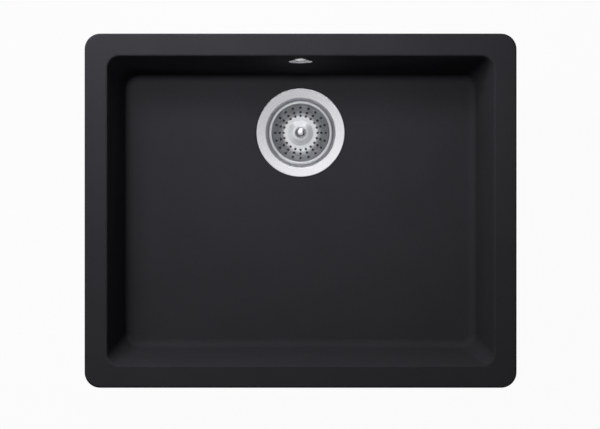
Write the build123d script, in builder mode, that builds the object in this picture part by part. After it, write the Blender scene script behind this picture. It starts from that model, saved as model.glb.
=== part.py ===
"""Undermount stone kitchen sink with its strainer waste and overflow.

All sizes are millimetres. The origin is the centre of the rim's flat top, +X runs along
the bowl's longer side, +Y points to the tap side and +Z points up. Every piece is modelled
at its fitted place, with the strainer closed.
"""

import os
from math import cos, radians, sin, tan

from build123d import *

os.makedirs("parts", exist_ok=True)

# Allowances that many pieces share
overrun = 5.0
running_gap = 0.3
slip_gap = 0.15
bearing_gap = 0.08
glue_gap = 0.05

# Bowl: one stone casting with a flat rim
bowl_length = 556.0
bowl_width = 456.0
rim_corner_radius = 20.0
rim_thickness = 12.0
rim_edge_radius = 2.5
rim_land = 29.0
opening_corner_radius = 16.0
opening_edge_radius = 3.0
bowl_depth = 190.0
wall_draft = 6.5
wall_thickness = 8.0
floor_thickness = 10.0
floor_corner_radius = 19.0
floor_fillet_radius = 12.0
floor_fall_share = 0.008
under_rim_radius = 6.0
drain_setback = 126.4
drain_hole_gap = 0.8
drain_recess_gap = 1.2
drain_recess_depth = 3.0
boss_margin = 8.0
boss_height = 3.0
boss_edge_radius = 1.2

# Threaded inserts in the underside of the rim
insert_radius = 3.8
insert_length = 8.0
insert_bore_radius = 2.1
insert_collar_radius = 4.6
insert_collar_height = 1.0
insert_edge_inset = 10.0
side_insert_spacing = 260.0
long_insert_spacing = 400.0

# Drain cup: pressed sheet with a dished flange
cup_sheet = 1.0
flange_radius = 57.8
flange_rise = 1.1
flange_lip_height = 1.8
throat_radius = 45.2
ledge_outer_radius = 41.4
ledge_depth = 9.0
cup_radius = 38.5
cup_depth = 47.5
flange_edge_bend = 1.1
throat_bend = 1.4
ledge_outer_bend = 1.2
ledge_inner_bend = 1.8
cup_floor_bend = 4.0
gasket_thickness = 1.0
kidney_inner_radius = 11.0
kidney_outer_radius = 21.0
kidney_count = 4
kidney_web_angle = 22.0

# Central clamp screw and its nut
clamp_head_radius = 7.0
clamp_head_height = 6.0
clamp_head_chamfer = 1.0
clamp_slot_width = 1.6
clamp_slot_depth = 2.0
clamp_shank_radius = 4.0
clamp_nut_width = 13.0
clamp_nut_height = 6.5
clamp_point_length = 2.0

# Valve body under the bowl
body_gasket_thickness = 3.0
body_flange_radius = 58.0
body_flange_thickness = 5.0
pot_gap = 4.5
pot_wall = 3.0
pot_height = 43.0
cone_height = 17.0
outlet_bore_radius = 19.5
outlet_thread_radius = 23.9
outlet_length = 24.0
outlet_chamfer = 1.2
outlet_relief_depth = 1.3
outlet_relief_height = 4.0
hub_radius = 11.0
hub_height = 13.0
spider_arm_thickness = 3.2
spider_arm_height = 10.0
spider_arm_count = 4
gusset_count = 12
gusset_thickness = 2.4
gusset_height = 11.0
gusset_reach = 7.0
pot_base_radius = 5.0

# Overflow port on the valve body
port_height = 24.5
port_bore_radius = 8.5
port_radius = 12.0
port_length = 12.0

# Strainer basket: pressed and punched sheet
basket_sheet = 0.8
basket_rim_gap = 1.0
basket_rim_width = 2.8
basket_rim_height = 2.6
basket_wall_radius = 36.4
basket_wall_depth = 7.5
basket_side_radius = 29.2
basket_side_depth = 10.0
basket_floor_radius = 22.3
basket_dish_depth = 3.6
basket_dome_radius = 16.6
basket_dome_top_radius = 9.5
basket_dome_rise = 2.8
basket_rim_bend = 1.35
basket_wall_bend = 4.0
basket_side_bend = 6.0
basket_floor_bend = 1.2
basket_dome_bend = 5.0
basket_hole_radius = 1.6
basket_row_radii = (22.2, 27.1, 32.9)
basket_row_count = 20

# Strainer knob and its stem
knob_radius = 7.5
knob_neck_radius = 3.4
knob_neck_length = 7.0
knob_collar_radius = 6.2
knob_collar_height = 1.2
stem_radius = 3.0
stem_nut_width = 10.0
stem_nut_height = 3.5
clip_radius = 5.0
clip_thickness = 0.8
clip_gap_width = 3.0
stem_end_length = 0.9

# Stopper foot and its seal
foot_hub_height = 4.4
foot_skirt_radius = 11.5
foot_skirt_wall = 1.8
foot_web_height = 1.6
foot_disc_radius = 26.0
foot_disc_thickness = 3.0
foot_hub_chamfer = 0.8
finger_wall = 1.5
finger_count = 6
finger_slot_width = 2.2
foot_rib_count = 8
foot_rib_thickness = 1.6
foot_rib_height = 4.0
foot_rib_reach = 8.0
seal_radius = 28.0
seal_thickness = 2.7
seal_bore_gap = 0.6
seal_lip_thickness = 1.0
seal_lip_inner_radius = 23.5

# Overflow through the rear wall
overflow_drop = 38.0
overflow_hole_radius = 14.0
rosette_lap = 1.5
rosette_edge = 2.4
rosette_height = 3.6
rosette_edge_radius = 0.5
rosette_slot_radius = 10.6
rosette_slot_width = 4.4
rosette_slot_angle = 42.0
rosette_slot_count = 4
overflow_screw_radius = 2.5
overflow_screw_head_radius = 4.6
overflow_screw_head_height = 1.6
overflow_screw_slot_width = 1.0
overflow_screw_slot_depth = 0.9
overflow_gasket_thickness = 2.0
head_flange_radius = 18.0
head_flange_thickness = 3.0
head_radius = 16.0
head_depth = 20.0
head_wall = 2.4
head_edge_radius = 2.0
head_boss_radius = 6.0
head_boss_length = 13.0
head_insert_radius = 4.0
head_insert_length = 9.0

# Overflow pipe, its compression joints and the elbow
pipe_radius = 8.0
pipe_wall = 1.6
spigot_radius = 10.0
spigot_reach = 30.0
pipe_insertion = 12.0
pipe_nut_wall = 1.6
pipe_nut_gap = 0.4
pipe_nut_height = 14.0
pipe_nut_lip = 2.0
pipe_nut_grip_count = 12
pipe_nut_grip_radius = 0.9
seal_cone_height = 5.0
seal_cone_tip = 0.9
socket_height = 22.0
elbow_bend_radius = 15.0
elbow_collar_inset = 0.4
elbow_leg_length = 48.0
elbow_collar_thickness = 2.4
port_seal_thickness = 2.0
port_nut_wall = 2.6
port_nut_height = 15.0
port_nut_lip = 2.4
port_nut_grip_count = 12
port_nut_grip_radius = 1.1

# Sizes that follow from the piece they fit
drain_hole_radius = throat_radius + cup_sheet + drain_hole_gap
drain_recess_radius = flange_radius + drain_recess_gap
pot_radius = cup_radius + cup_sheet + pot_gap
basket_rim_radius = ledge_outer_radius - basket_rim_gap
basket_rim_inner_radius = basket_rim_radius - basket_rim_width
finger_inner = clamp_head_radius + running_gap
finger_outer = finger_inner + finger_wall
seal_inner_radius = finger_outer + seal_bore_gap
rosette_radius = overflow_hole_radius + rosette_lap
pipe_nut_radius = spigot_radius + pipe_nut_wall
pipe_standoff = pipe_nut_radius + pipe_nut_gap
elbow_collar_radius = port_radius - elbow_collar_inset
port_nut_radius = port_radius + port_nut_wall

# Places that follow from the sizes above
wall_slope = tan(radians(wall_draft))
opening_length = bowl_length - 2 * rim_land
opening_width = bowl_width - 2 * rim_land
floor_length = opening_length - 2 * bowl_depth * wall_slope
floor_width = opening_width - 2 * bowl_depth * wall_slope
wall_run = wall_thickness / cos(radians(wall_draft))
shell_depth = bowl_depth + floor_thickness
shell_bottom_shift = wall_run - shell_depth * wall_slope
drain_offset = bowl_width / 2 - drain_setback
body_gasket_radius = body_flange_radius - running_gap
boss_radius = body_flange_radius + boss_margin

floor_z = -bowl_depth
recess_z = floor_z - drain_recess_depth
flange_z = recess_z + gasket_thickness + cup_sheet
ledge_z = floor_z - ledge_depth
cup_floor_z = floor_z - cup_depth
boss_z = -(shell_depth + boss_height)
body_top_z = boss_z - body_gasket_thickness
pot_bottom_z = body_top_z - pot_height
cone_bottom_z = pot_bottom_z - cone_height
outlet_z = cone_bottom_z - outlet_length
hub_top_z = cup_floor_z - cup_sheet
port_z = body_top_z - port_height

drain_axis = Axis((0, drain_offset, 0), (0, 0, 1))
drain_section = Plane((0, drain_offset, 0), x_dir=(1, 0, 0), z_dir=(0, -1, 0))


def drain_level(height: float) -> Plane:
    """Return a horizontal plane at a height, with its origin on the drain's axis."""
    return Plane((0, drain_offset, height))


# Bowl space: the drafted hollow of the bowl, its floor falling gently to the drain
fall_radius = bowl_length
fall_rise = (fall_radius - drain_recess_radius) * floor_fall_share

with BuildPart() as bowl_space:
    with BuildSketch(Plane.XY):
        RectangleRounded(opening_length, opening_width, opening_corner_radius)
    with BuildSketch(Plane.XY.offset(floor_z)):
        RectangleRounded(floor_length, floor_width, floor_corner_radius)
    loft(ruled=True)
    with BuildSketch(drain_section):
        with BuildLine():
            Polyline(
                (drain_recess_radius, floor_z - overrun),
                (drain_recess_radius, floor_z),
                (fall_radius, floor_z + fall_rise),
                (fall_radius, floor_z - overrun),
                close=True,
            )
        make_face()
    revolve(axis=drain_axis, mode=Mode.SUBTRACT)
    floor_faces = bowl_space.faces().filter_by(GeomType.CONE).sort_by(SortBy.AREA)
    floor_edges = floor_faces[-1].outer_wire().edges()
    fillet(floor_edges, radius=floor_fillet_radius)
    with BuildSketch(Plane.XY):
        RectangleRounded(opening_length, opening_width, opening_corner_radius)
    extrude(amount=overrun)

# Bowl: shell and rim around that space
side_insert_x = bowl_length - 2 * insert_edge_inset
long_insert_y = bowl_width - 2 * insert_edge_inset
overflow_y = opening_width / 2 - overflow_drop * wall_slope
overflow_face = Plane(
    (0, overflow_y, -overflow_drop),
    x_dir=(1, 0, 0),
    z_dir=(0, -cos(radians(wall_draft)), sin(radians(wall_draft))),
)
under_rim = Plane((0, 0, -rim_thickness), z_dir=(0, 0, -1))

with BuildPart() as bowl:
    with BuildSketch(Plane.XY):
        RectangleRounded(
            opening_length + 2 * wall_run,
            opening_width + 2 * wall_run,
            opening_corner_radius + wall_thickness,
        )
    with BuildSketch(Plane.XY.offset(-shell_depth)):
        RectangleRounded(
            opening_length + 2 * shell_bottom_shift,
            opening_width + 2 * shell_bottom_shift,
            floor_corner_radius + wall_thickness,
        )
    loft(ruled=True)
    fillet(bowl.faces().sort_by(Axis.Z)[0].edges(), radius=floor_fillet_radius + wall_thickness)
    with BuildSketch(Plane.XY):
        RectangleRounded(bowl_length, bowl_width, rim_corner_radius)
    extrude(amount=-rim_thickness)
    level_faces = bowl.faces().filter_by(Axis.Z)
    rim_underside = level_faces.sort_by(lambda face: abs(face.center().Z + rim_thickness))[0]
    fillet(rim_underside.inner_wires()[0].edges(), radius=under_rim_radius)
    fillet(bowl.faces().sort_by(Axis.Z)[-1].edges(), radius=rim_edge_radius)
    with BuildSketch(drain_level(-shell_depth)):
        Circle(boss_radius)
    extrude(amount=-boss_height)
    fillet(bowl.faces().sort_by(Axis.Z)[0].edges(), radius=boss_edge_radius)
    add(bowl_space.part, mode=Mode.SUBTRACT)
    fillet(bowl.faces().sort_by(Axis.Z)[-1].inner_wires()[0].edges(), radius=opening_edge_radius)
    with Locations(drain_level(floor_z)):
        CounterBoreHole(
            radius=drain_hole_radius,
            counter_bore_radius=drain_recess_radius,
            counter_bore_depth=drain_recess_depth,
            depth=floor_thickness + boss_height + overrun,
        )
    with Locations(overflow_face.offset(overrun)):
        Hole(overflow_hole_radius, depth=wall_thickness + 2 * overrun)
    with Locations(under_rim):
        with GridLocations(side_insert_x, side_insert_spacing, 2, 2):
            CounterBoreHole(
                radius=insert_radius,
                counter_bore_radius=insert_collar_radius,
                counter_bore_depth=insert_collar_height,
                depth=insert_length,
            )
        with GridLocations(long_insert_spacing, long_insert_y, 2, 2):
            CounterBoreHole(
                radius=insert_radius,
                counter_bore_radius=insert_collar_radius,
                counter_bore_depth=insert_collar_height,
                depth=insert_length,
            )
bowl.part.label = "bowl"
export_step(bowl.part, "parts/bowl.step")

# Rim inserts: eight collared brass bushes, open downwards
with BuildPart() as rim_inserts:
    with BuildSketch(under_rim):
        with GridLocations(side_insert_x, side_insert_spacing, 2, 2):
            Circle(insert_radius - glue_gap)
        with GridLocations(long_insert_spacing, long_insert_y, 2, 2):
            Circle(insert_radius - glue_gap)
    extrude(amount=-insert_length)
    with BuildSketch(under_rim):
        with GridLocations(side_insert_x, side_insert_spacing, 2, 2):
            Circle(insert_collar_radius - glue_gap)
        with GridLocations(long_insert_spacing, long_insert_y, 2, 2):
            Circle(insert_collar_radius - glue_gap)
    extrude(amount=-insert_collar_height)
    with BuildSketch(under_rim):
        with GridLocations(side_insert_x, side_insert_spacing, 2, 2):
            Circle(insert_bore_radius)
        with GridLocations(long_insert_spacing, long_insert_y, 2, 2):
            Circle(insert_bore_radius)
    extrude(amount=-insert_length, mode=Mode.SUBTRACT)
rim_inserts.part.label = "rim_inserts"
export_step(rim_inserts.part, "parts/rim_inserts.step")

# Drain cup: visible surface drawn from the flange's lip to the axis, then given its sheet
with BuildPart() as drain_cup:
    with BuildSketch(drain_section):
        with BuildLine():
            cup_skin = FilletPolyline(
                (flange_radius, flange_z + flange_rise - flange_lip_height),
                (flange_radius, flange_z + flange_rise),
                (throat_radius, flange_z),
                (ledge_outer_radius, ledge_z),
                (cup_radius, ledge_z),
                (cup_radius, cup_floor_z),
                (0, cup_floor_z),
                radius=(
                    flange_edge_bend,
                    throat_bend,
                    ledge_outer_bend,
                    ledge_inner_bend,
                    cup_floor_bend,
                ),
            )
            offset(cup_skin, amount=cup_sheet, side=Side.LEFT)
        make_face()
    revolve(axis=drain_axis)
    with BuildSketch(drain_level(cup_floor_z)):
        with PolarLocations(0, kidney_count):
            kidney_arc = CenterArc(
                (0, 0),
                (kidney_inner_radius + kidney_outer_radius) / 2,
                kidney_web_angle,
                360 / kidney_count - 2 * kidney_web_angle,
                mode=Mode.PRIVATE,
            )
            SlotArc(kidney_arc, height=kidney_outer_radius - kidney_inner_radius)
        Circle(clamp_shank_radius + slip_gap)
    extrude(amount=-(cup_sheet + overrun), mode=Mode.SUBTRACT)
drain_cup.part.label = "drain_cup"
export_step(drain_cup.part, "parts/drain_cup.step")

# Flange gasket: moulded ring that fills the wedge between recess and flange
with BuildPart() as flange_gasket:
    with BuildSketch(drain_section):
        gasket_inner = throat_radius + throat_bend + slip_gap
        gasket_outer = flange_radius - flange_edge_bend - slip_gap
        gasket_slope = flange_rise / (flange_radius - throat_radius)
        under_flange_z = flange_z - cup_sheet * (1 + gasket_slope**2) ** 0.5
        with BuildLine():
            Polyline(
                (gasket_inner, recess_z),
                (gasket_outer, recess_z),
                (gasket_outer, under_flange_z + (gasket_outer - throat_radius) * gasket_slope),
                (gasket_inner, under_flange_z + (gasket_inner - throat_radius) * gasket_slope),
                close=True,
            )
        make_face()
    revolve(axis=drain_axis)
flange_gasket.part.label = "flange_gasket"
export_step(flange_gasket.part, "parts/flange_gasket.step")

# Clamp screw: slotted post that the stopper grips, shank down through hub and nut
clamp_nut_z = hub_top_z - hub_height
clamp_point_z = clamp_nut_z - clamp_point_length

with BuildPart() as clamp_screw:
    with BuildSketch(drain_level(cup_floor_z)):
        Circle(clamp_head_radius)
    extrude(amount=clamp_head_height)
    chamfer(clamp_screw.faces().sort_by(Axis.Z)[-1].edges(), length=clamp_head_chamfer)
    with BuildSketch(drain_level(cup_floor_z + clamp_head_height)):
        Rectangle(2 * clamp_head_radius, clamp_slot_width)
    extrude(amount=-clamp_slot_depth, mode=Mode.SUBTRACT)
    with BuildSketch(drain_level(cup_floor_z)):
        Circle(clamp_shank_radius)
    extrude(amount=clamp_point_z - cup_floor_z)
    chamfer(clamp_screw.faces().sort_by(Axis.Z)[0].edges(), length=clamp_head_chamfer)
clamp_screw.part.label = "clamp_screw"
export_step(clamp_screw.part, "parts/clamp_screw.step")

# Clamp nut: hexagon let into the hub from below
with BuildPart() as clamp_nut:
    with BuildSketch(drain_level(clamp_nut_z)):
        RegularPolygon(clamp_nut_width / 2, side_count=6, major_radius=False)
        Circle(clamp_shank_radius + glue_gap, mode=Mode.SUBTRACT)
    extrude(amount=clamp_nut_height)
clamp_nut.part.label = "clamp_nut"
export_step(clamp_nut.part, "parts/clamp_nut.step")

# Body gasket: thick ring between the bowl's boss and the valve body
with BuildPart() as body_gasket:
    with BuildSketch(drain_level(body_top_z)):
        Circle(body_gasket_radius)
        Circle(drain_hole_radius + body_gasket_thickness / 2, mode=Mode.SUBTRACT)
    extrude(amount=body_gasket_thickness)
body_gasket.part.label = "body_gasket"
export_step(body_gasket.part, "parts/body_gasket.step")

# Valve body: moulded pot with flange, gussets, spider, outlet and overflow port
pot_outer = pot_radius + pot_wall
port_level = Plane.XY.offset(port_z)
port_axis = Axis((0, drain_offset, port_z), (0, 1, 0))
port_end_y = drain_offset + pot_outer + port_length

with BuildPart() as valve_body:
    with BuildSketch(drain_section):
        with BuildLine():
            Polyline(
                (0, body_top_z),
                (body_flange_radius, body_top_z),
                (body_flange_radius, body_top_z - body_flange_thickness),
                (pot_outer, body_top_z - body_flange_thickness),
                (pot_outer, pot_bottom_z),
                (outlet_thread_radius - outlet_relief_depth, cone_bottom_z),
                (outlet_thread_radius - outlet_relief_depth, cone_bottom_z - outlet_relief_height),
                (outlet_thread_radius, cone_bottom_z - outlet_relief_height),
                (outlet_thread_radius, outlet_z),
                (0, outlet_z),
                close=True,
            )
        make_face()
    revolve(axis=drain_axis)
    pot_rings = valve_body.edges().filter_by(GeomType.CIRCLE)
    fillet(
        pot_rings.filter_by_position(Axis.Z, pot_bottom_z - glue_gap, pot_bottom_z + glue_gap),
        radius=pot_base_radius,
    )
    chamfer(valve_body.faces().sort_by(Axis.Z)[0].edges(), length=outlet_chamfer)
    with BuildSketch(drain_level(body_top_z - body_flange_thickness)):
        with PolarLocations(0, gusset_count, start_angle=180 / gusset_count):
            with Locations((pot_radius + (pot_wall + gusset_reach) / 2, 0)):
                Rectangle(pot_wall + gusset_reach, gusset_thickness)
    extrude(amount=-gusset_height)
    with BuildSketch(port_level):
        with Locations((0, drain_offset + pot_radius)):
            Rectangle(port_radius, pot_wall + port_length, align=(Align.MIN, Align.MIN))
    revolve(axis=port_axis)
    with BuildSketch(drain_section):
        with BuildLine():
            Polyline(
                (0, body_top_z + overrun),
                (pot_radius, body_top_z + overrun),
                (pot_radius, pot_bottom_z),
                (outlet_bore_radius, cone_bottom_z),
                (outlet_bore_radius, outlet_z - overrun),
                (0, outlet_z - overrun),
                close=True,
            )
        make_face()
    revolve(axis=drain_axis, mode=Mode.SUBTRACT)
    with BuildSketch(port_level):
        with Locations((0, drain_offset + pot_radius - overrun)):
            Rectangle(port_bore_radius, pot_wall + port_length + 2 * overrun, align=(Align.MIN, Align.MIN))
    revolve(axis=port_axis, mode=Mode.SUBTRACT)
    with BuildSketch(drain_level(hub_top_z - hub_height)):
        Circle(hub_radius)
    extrude(amount=hub_height)
    with BuildSketch(drain_level(hub_top_z - hub_height)):
        with PolarLocations(0, spider_arm_count, start_angle=180 / spider_arm_count):
            with Locations((pot_radius / 2, 0)):
                Rectangle(pot_radius + pot_wall, spider_arm_thickness)
    extrude(amount=spider_arm_height)
    with BuildSketch(drain_level(hub_top_z - hub_height)):
        RegularPolygon(clamp_nut_width / 2 + glue_gap, side_count=6, major_radius=False)
    extrude(amount=clamp_nut_height, mode=Mode.SUBTRACT)
    with BuildSketch(drain_level(hub_top_z)):
        Circle(clamp_shank_radius + slip_gap)
    extrude(amount=-hub_height, mode=Mode.SUBTRACT)
valve_body.part.label = "valve_body"
export_step(valve_body.part, "parts/valve_body.step")

# Strainer basket: pressed sheet with a rolled rim, coned side and domed middle
basket_rim_z = ledge_z + running_gap + basket_rim_height
basket_wall_z = basket_rim_z - basket_wall_depth
basket_side_z = basket_wall_z - basket_side_depth
basket_floor_z = basket_side_z - basket_dish_depth
dome_z = basket_floor_z + basket_dome_rise

with BuildPart() as strainer_basket:
    with BuildSketch(drain_section):
        with BuildLine():
            basket_skin = FilletPolyline(
                (basket_rim_radius, ledge_z + running_gap),
                (basket_rim_radius, basket_rim_z),
                (basket_rim_inner_radius, basket_rim_z),
                (basket_wall_radius, basket_wall_z),
                (basket_side_radius, basket_side_z),
                (basket_floor_radius, basket_floor_z),
                (basket_dome_radius, basket_floor_z),
                (basket_dome_top_radius, dome_z),
                (0, dome_z),
                radius=(
                    basket_rim_bend,
                    basket_rim_bend,
                    basket_wall_bend,
                    basket_side_bend,
                    basket_floor_bend,
                    basket_floor_bend,
                    basket_dome_bend,
                ),
            )
            offset(basket_skin, amount=basket_sheet, side=Side.LEFT)
        make_face()
    revolve(axis=drain_axis)
    with BuildSketch(drain_level(basket_rim_z)):
        for row_radius in basket_row_radii:
            with PolarLocations(row_radius, basket_row_count, start_angle=90):
                Circle(basket_hole_radius)
        Circle(stem_radius + glue_gap)
    extrude(amount=basket_floor_z - basket_sheet - overrun - basket_rim_z, mode=Mode.SUBTRACT)
strainer_basket.part.label = "strainer_basket"
export_step(strainer_basket.part, "parts/strainer_basket.step")

# Strainer knob: ball, waisted neck, collar and the stem below it
stem_nut_top_z = dome_z - basket_sheet
foot_top_z = stem_nut_top_z - stem_nut_height - running_gap
foot_bottom_z = foot_top_z - foot_hub_height
clip_top_z = foot_bottom_z - running_gap
stem_end_z = clip_top_z - clip_thickness - stem_end_length
neck_bottom_z = dome_z + knob_collar_height
knob_z = neck_bottom_z + knob_neck_length + (knob_radius**2 - knob_neck_radius**2) ** 0.5

with BuildPart() as strainer_knob:
    with BuildSketch(drain_section):
        with BuildLine():
            Line((0, stem_end_z), (stem_radius, stem_end_z))
            Line((stem_radius, stem_end_z), (stem_radius, dome_z))
            Line((stem_radius, dome_z), (knob_collar_radius, dome_z))
            Line((knob_collar_radius, dome_z), (knob_collar_radius, neck_bottom_z))
            neck = Bezier(
                (knob_collar_radius, neck_bottom_z),
                (knob_neck_radius, neck_bottom_z),
                (knob_neck_radius, neck_bottom_z + knob_neck_length / 2),
                (knob_neck_radius, neck_bottom_z + knob_neck_length),
            )
            ThreePointArc(neck @ 1, (knob_radius, knob_z), (0, knob_z + knob_radius))
            Line((0, knob_z + knob_radius), (0, stem_end_z))
        make_face()
    revolve(axis=drain_axis)
strainer_knob.part.label = "strainer_knob"
export_step(strainer_knob.part, "parts/strainer_knob.step")

# Stem nut: hexagon under the basket's dome
with BuildPart() as stem_nut:
    with BuildSketch(drain_level(stem_nut_top_z)):
        RegularPolygon(stem_nut_width / 2, side_count=6, major_radius=False)
        Circle(stem_radius + glue_gap, mode=Mode.SUBTRACT)
    extrude(amount=-stem_nut_height)
stem_nut.part.label = "stem_nut"
export_step(stem_nut.part, "parts/stem_nut.step")

# Stem clip: open retaining ring under the foot's hub
with BuildPart() as stem_clip:
    with BuildSketch(drain_level(clip_top_z)):
        Circle(clip_radius)
        Circle(stem_radius + glue_gap, mode=Mode.SUBTRACT)
        Rectangle(clip_radius + overrun, clip_gap_width, align=(Align.MIN, Align.CENTER), mode=Mode.SUBTRACT)
    extrude(amount=-clip_thickness)
stem_clip.part.label = "stem_clip"
export_step(stem_clip.part, "parts/stem_clip.step")

# Stopper foot: hub on the stem, bell over the post, spring fingers and seal disc
seal_bottom_z = cup_floor_z + running_gap
disc_bottom_z = seal_bottom_z + seal_thickness
disc_top_z = disc_bottom_z + foot_disc_thickness
foot_bore_radius = foot_skirt_radius - foot_skirt_wall
web_top_z = cup_floor_z + clamp_head_height + running_gap + foot_web_height

with BuildPart() as stopper_foot:
    with BuildSketch(drain_section):
        with BuildLine():
            Polyline(
                (stem_radius + bearing_gap, foot_top_z),
                (foot_skirt_radius - foot_hub_chamfer, foot_top_z),
                (foot_skirt_radius, foot_top_z - foot_hub_chamfer),
                (foot_skirt_radius, disc_top_z),
                (foot_disc_radius, disc_top_z),
                (foot_disc_radius, disc_bottom_z),
                (finger_outer + running_gap, disc_bottom_z),
                (finger_outer + running_gap, web_top_z - foot_web_height),
                (finger_outer, web_top_z - foot_web_height),
                (finger_outer, seal_bottom_z),
                (finger_inner, seal_bottom_z),
                (finger_inner, web_top_z),
                (foot_bore_radius, web_top_z),
                (foot_bore_radius, foot_bottom_z),
                (stem_radius + bearing_gap, foot_bottom_z),
                close=True,
            )
        make_face()
    revolve(axis=drain_axis)
    with BuildSketch(drain_level(disc_top_z)):
        with PolarLocations(0, foot_rib_count):
            with Locations((foot_skirt_radius + foot_rib_reach / 2, 0)):
                Rectangle(foot_rib_reach + foot_skirt_wall, foot_rib_thickness)
    extrude(amount=foot_rib_height)
    with BuildSketch(drain_level(seal_bottom_z)):
        with PolarLocations(0, finger_count):
            with Locations((finger_inner + finger_wall / 2, 0)):
                Rectangle(2 * finger_wall, finger_slot_width)
    extrude(amount=web_top_z - foot_web_height - seal_bottom_z, mode=Mode.SUBTRACT)
stopper_foot.part.label = "stopper_foot"
export_step(stopper_foot.part, "parts/stopper_foot.step")

# Stopper seal: rubber disc whose lip wraps the foot's edge
with BuildPart() as stopper_seal:
    with BuildSketch(drain_section):
        with BuildLine():
            Polyline(
                (seal_inner_radius, seal_bottom_z),
                (seal_radius - seal_lip_thickness, seal_bottom_z),
                (seal_radius, seal_bottom_z + seal_lip_thickness),
                (seal_radius, disc_top_z + seal_lip_thickness),
                (seal_lip_inner_radius, disc_top_z + seal_lip_thickness),
                (seal_lip_inner_radius, disc_top_z),
                (foot_disc_radius + glue_gap, disc_top_z),
                (foot_disc_radius + glue_gap, disc_bottom_z),
                (seal_inner_radius, disc_bottom_z),
                close=True,
            )
        make_face()
    revolve(axis=drain_axis)
stopper_seal.part.label = "stopper_seal"
export_step(stopper_seal.part, "parts/stopper_seal.step")

# Overflow rosette: domed cover with four curved slots, drawn about the wall's normal
wall_normal = overflow_face.z_dir
wall_up = overflow_face.y_dir
overflow_axis = Axis(overflow_face.origin, wall_normal)
overflow_section = Plane(overflow_face.origin, x_dir=(1, 0, 0), z_dir=-wall_up)
outer_wall_level = -wall_thickness
head_face_level = outer_wall_level - overflow_gasket_thickness
head_back_level = head_face_level - head_depth

with BuildPart() as overflow_rosette:
    with BuildSketch(overflow_section):
        with BuildLine():
            rosette_top = ThreePointArc(
                (-rosette_radius, rosette_edge),
                (0, rosette_height),
                (rosette_radius, rosette_edge),
            )
            Polyline(
                rosette_top @ 1,
                (rosette_radius, 0),
                (-rosette_radius, 0),
                rosette_top @ 0,
            )
        make_face()
        split(bisect_by=Plane.YZ, keep=Keep.TOP)
    revolve(axis=overflow_axis)
    round_edges = overflow_rosette.edges().filter_by(lambda edge: edge.is_closed)
    fillet(round_edges.sort_by(overflow_axis)[-1], radius=rosette_edge_radius)
    with BuildSketch(overflow_face.offset(rosette_height)):
        with PolarLocations(0, rosette_slot_count, start_angle=180 / rosette_slot_count):
            slot_arc = CenterArc(
                (0, 0),
                rosette_slot_radius,
                -rosette_slot_angle / 2,
                rosette_slot_angle,
                mode=Mode.PRIVATE,
            )
            SlotArc(slot_arc, height=rosette_slot_width)
        Circle(overflow_screw_radius + slip_gap)
    extrude(amount=-(rosette_height + overrun), mode=Mode.SUBTRACT)
overflow_rosette.part.label = "overflow_rosette"
export_step(overflow_rosette.part, "parts/overflow_rosette.step")

# Overflow screw: low domed head with a slot, shank through to the insert
screw_head_level = rosette_height
screw_top_level = screw_head_level + overflow_screw_head_height
screw_point_level = head_back_level + head_wall + head_boss_length - head_insert_length

with BuildPart() as overflow_screw:
    with BuildSketch(overflow_face.offset(screw_head_level)):
        Circle(overflow_screw_head_radius)
    extrude(amount=overflow_screw_head_height)
    screw_head_top = overflow_screw.faces().sort_by(overflow_axis)[-1]
    fillet(screw_head_top.edges(), radius=overflow_screw_head_height - overflow_screw_slot_depth / 2)
    with BuildSketch(overflow_face.offset(screw_top_level)):
        Rectangle(2 * overflow_screw_head_radius, overflow_screw_slot_width)
    extrude(amount=-overflow_screw_slot_depth, mode=Mode.SUBTRACT)
    with BuildSketch(overflow_face.offset(screw_head_level)):
        Circle(overflow_screw_radius)
    extrude(amount=screw_point_level - screw_head_level)
overflow_screw.part.label = "overflow_screw"
export_step(overflow_screw.part, "parts/overflow_screw.step")

# Overflow gasket: ring between the wall's back and the head
with BuildPart() as overflow_gasket:
    with BuildSketch(overflow_face.offset(outer_wall_level)):
        Circle(head_flange_radius)
        Circle(overflow_hole_radius, mode=Mode.SUBTRACT)
    extrude(amount=-overflow_gasket_thickness)
overflow_gasket.part.label = "overflow_gasket"
export_step(overflow_gasket.part, "parts/overflow_gasket.step")

# Overflow head: round chamber with a boss for the insert and a spigot downwards
pipe_section = overflow_face.offset(outer_wall_level - pipe_standoff)
pipe_axis = Axis(pipe_section.origin, wall_up)
chamber_radius = head_radius - head_wall
chamber_back_level = head_back_level + head_wall
boss_face_level = chamber_back_level + head_boss_length
spigot_end = -spigot_reach
pipe_top = spigot_end + pipe_insertion


def pipe_level(distance: float) -> Plane:
    """Return a plane square to the overflow pipe, at a distance up along it."""
    return Plane(pipe_section.origin + wall_up * distance, x_dir=(1, 0, 0), z_dir=wall_up)


with BuildPart() as overflow_head:
    with BuildSketch(overflow_face.offset(head_face_level)):
        Circle(head_radius)
    extrude(amount=-head_depth)
    fillet(overflow_head.faces().sort_by(overflow_axis)[0].edges(), radius=head_edge_radius)
    with BuildSketch(overflow_face.offset(head_face_level)):
        Circle(head_flange_radius)
    extrude(amount=-head_flange_thickness)
    with BuildSketch(pipe_level(0)):
        Circle(spigot_radius)
    extrude(amount=-spigot_reach)
    with BuildSketch(overflow_face.offset(head_face_level)):
        Circle(chamber_radius)
    extrude(amount=-(head_depth - head_wall), mode=Mode.SUBTRACT)
    with BuildSketch(pipe_level(0)):
        Circle(pipe_radius - pipe_wall)
    extrude(amount=-(spigot_reach + overrun), mode=Mode.SUBTRACT)
    with BuildSketch(pipe_level(pipe_top)):
        Circle(pipe_radius + slip_gap)
    extrude(amount=-(pipe_insertion + overrun), mode=Mode.SUBTRACT)
    with BuildSketch(overflow_face.offset(chamber_back_level)):
        Circle(head_boss_radius)
    extrude(amount=head_boss_length)
    with BuildSketch(overflow_face.offset(boss_face_level)):
        Circle(head_insert_radius + glue_gap)
    extrude(amount=-head_insert_length, mode=Mode.SUBTRACT)
overflow_head.part.label = "overflow_head"
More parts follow.
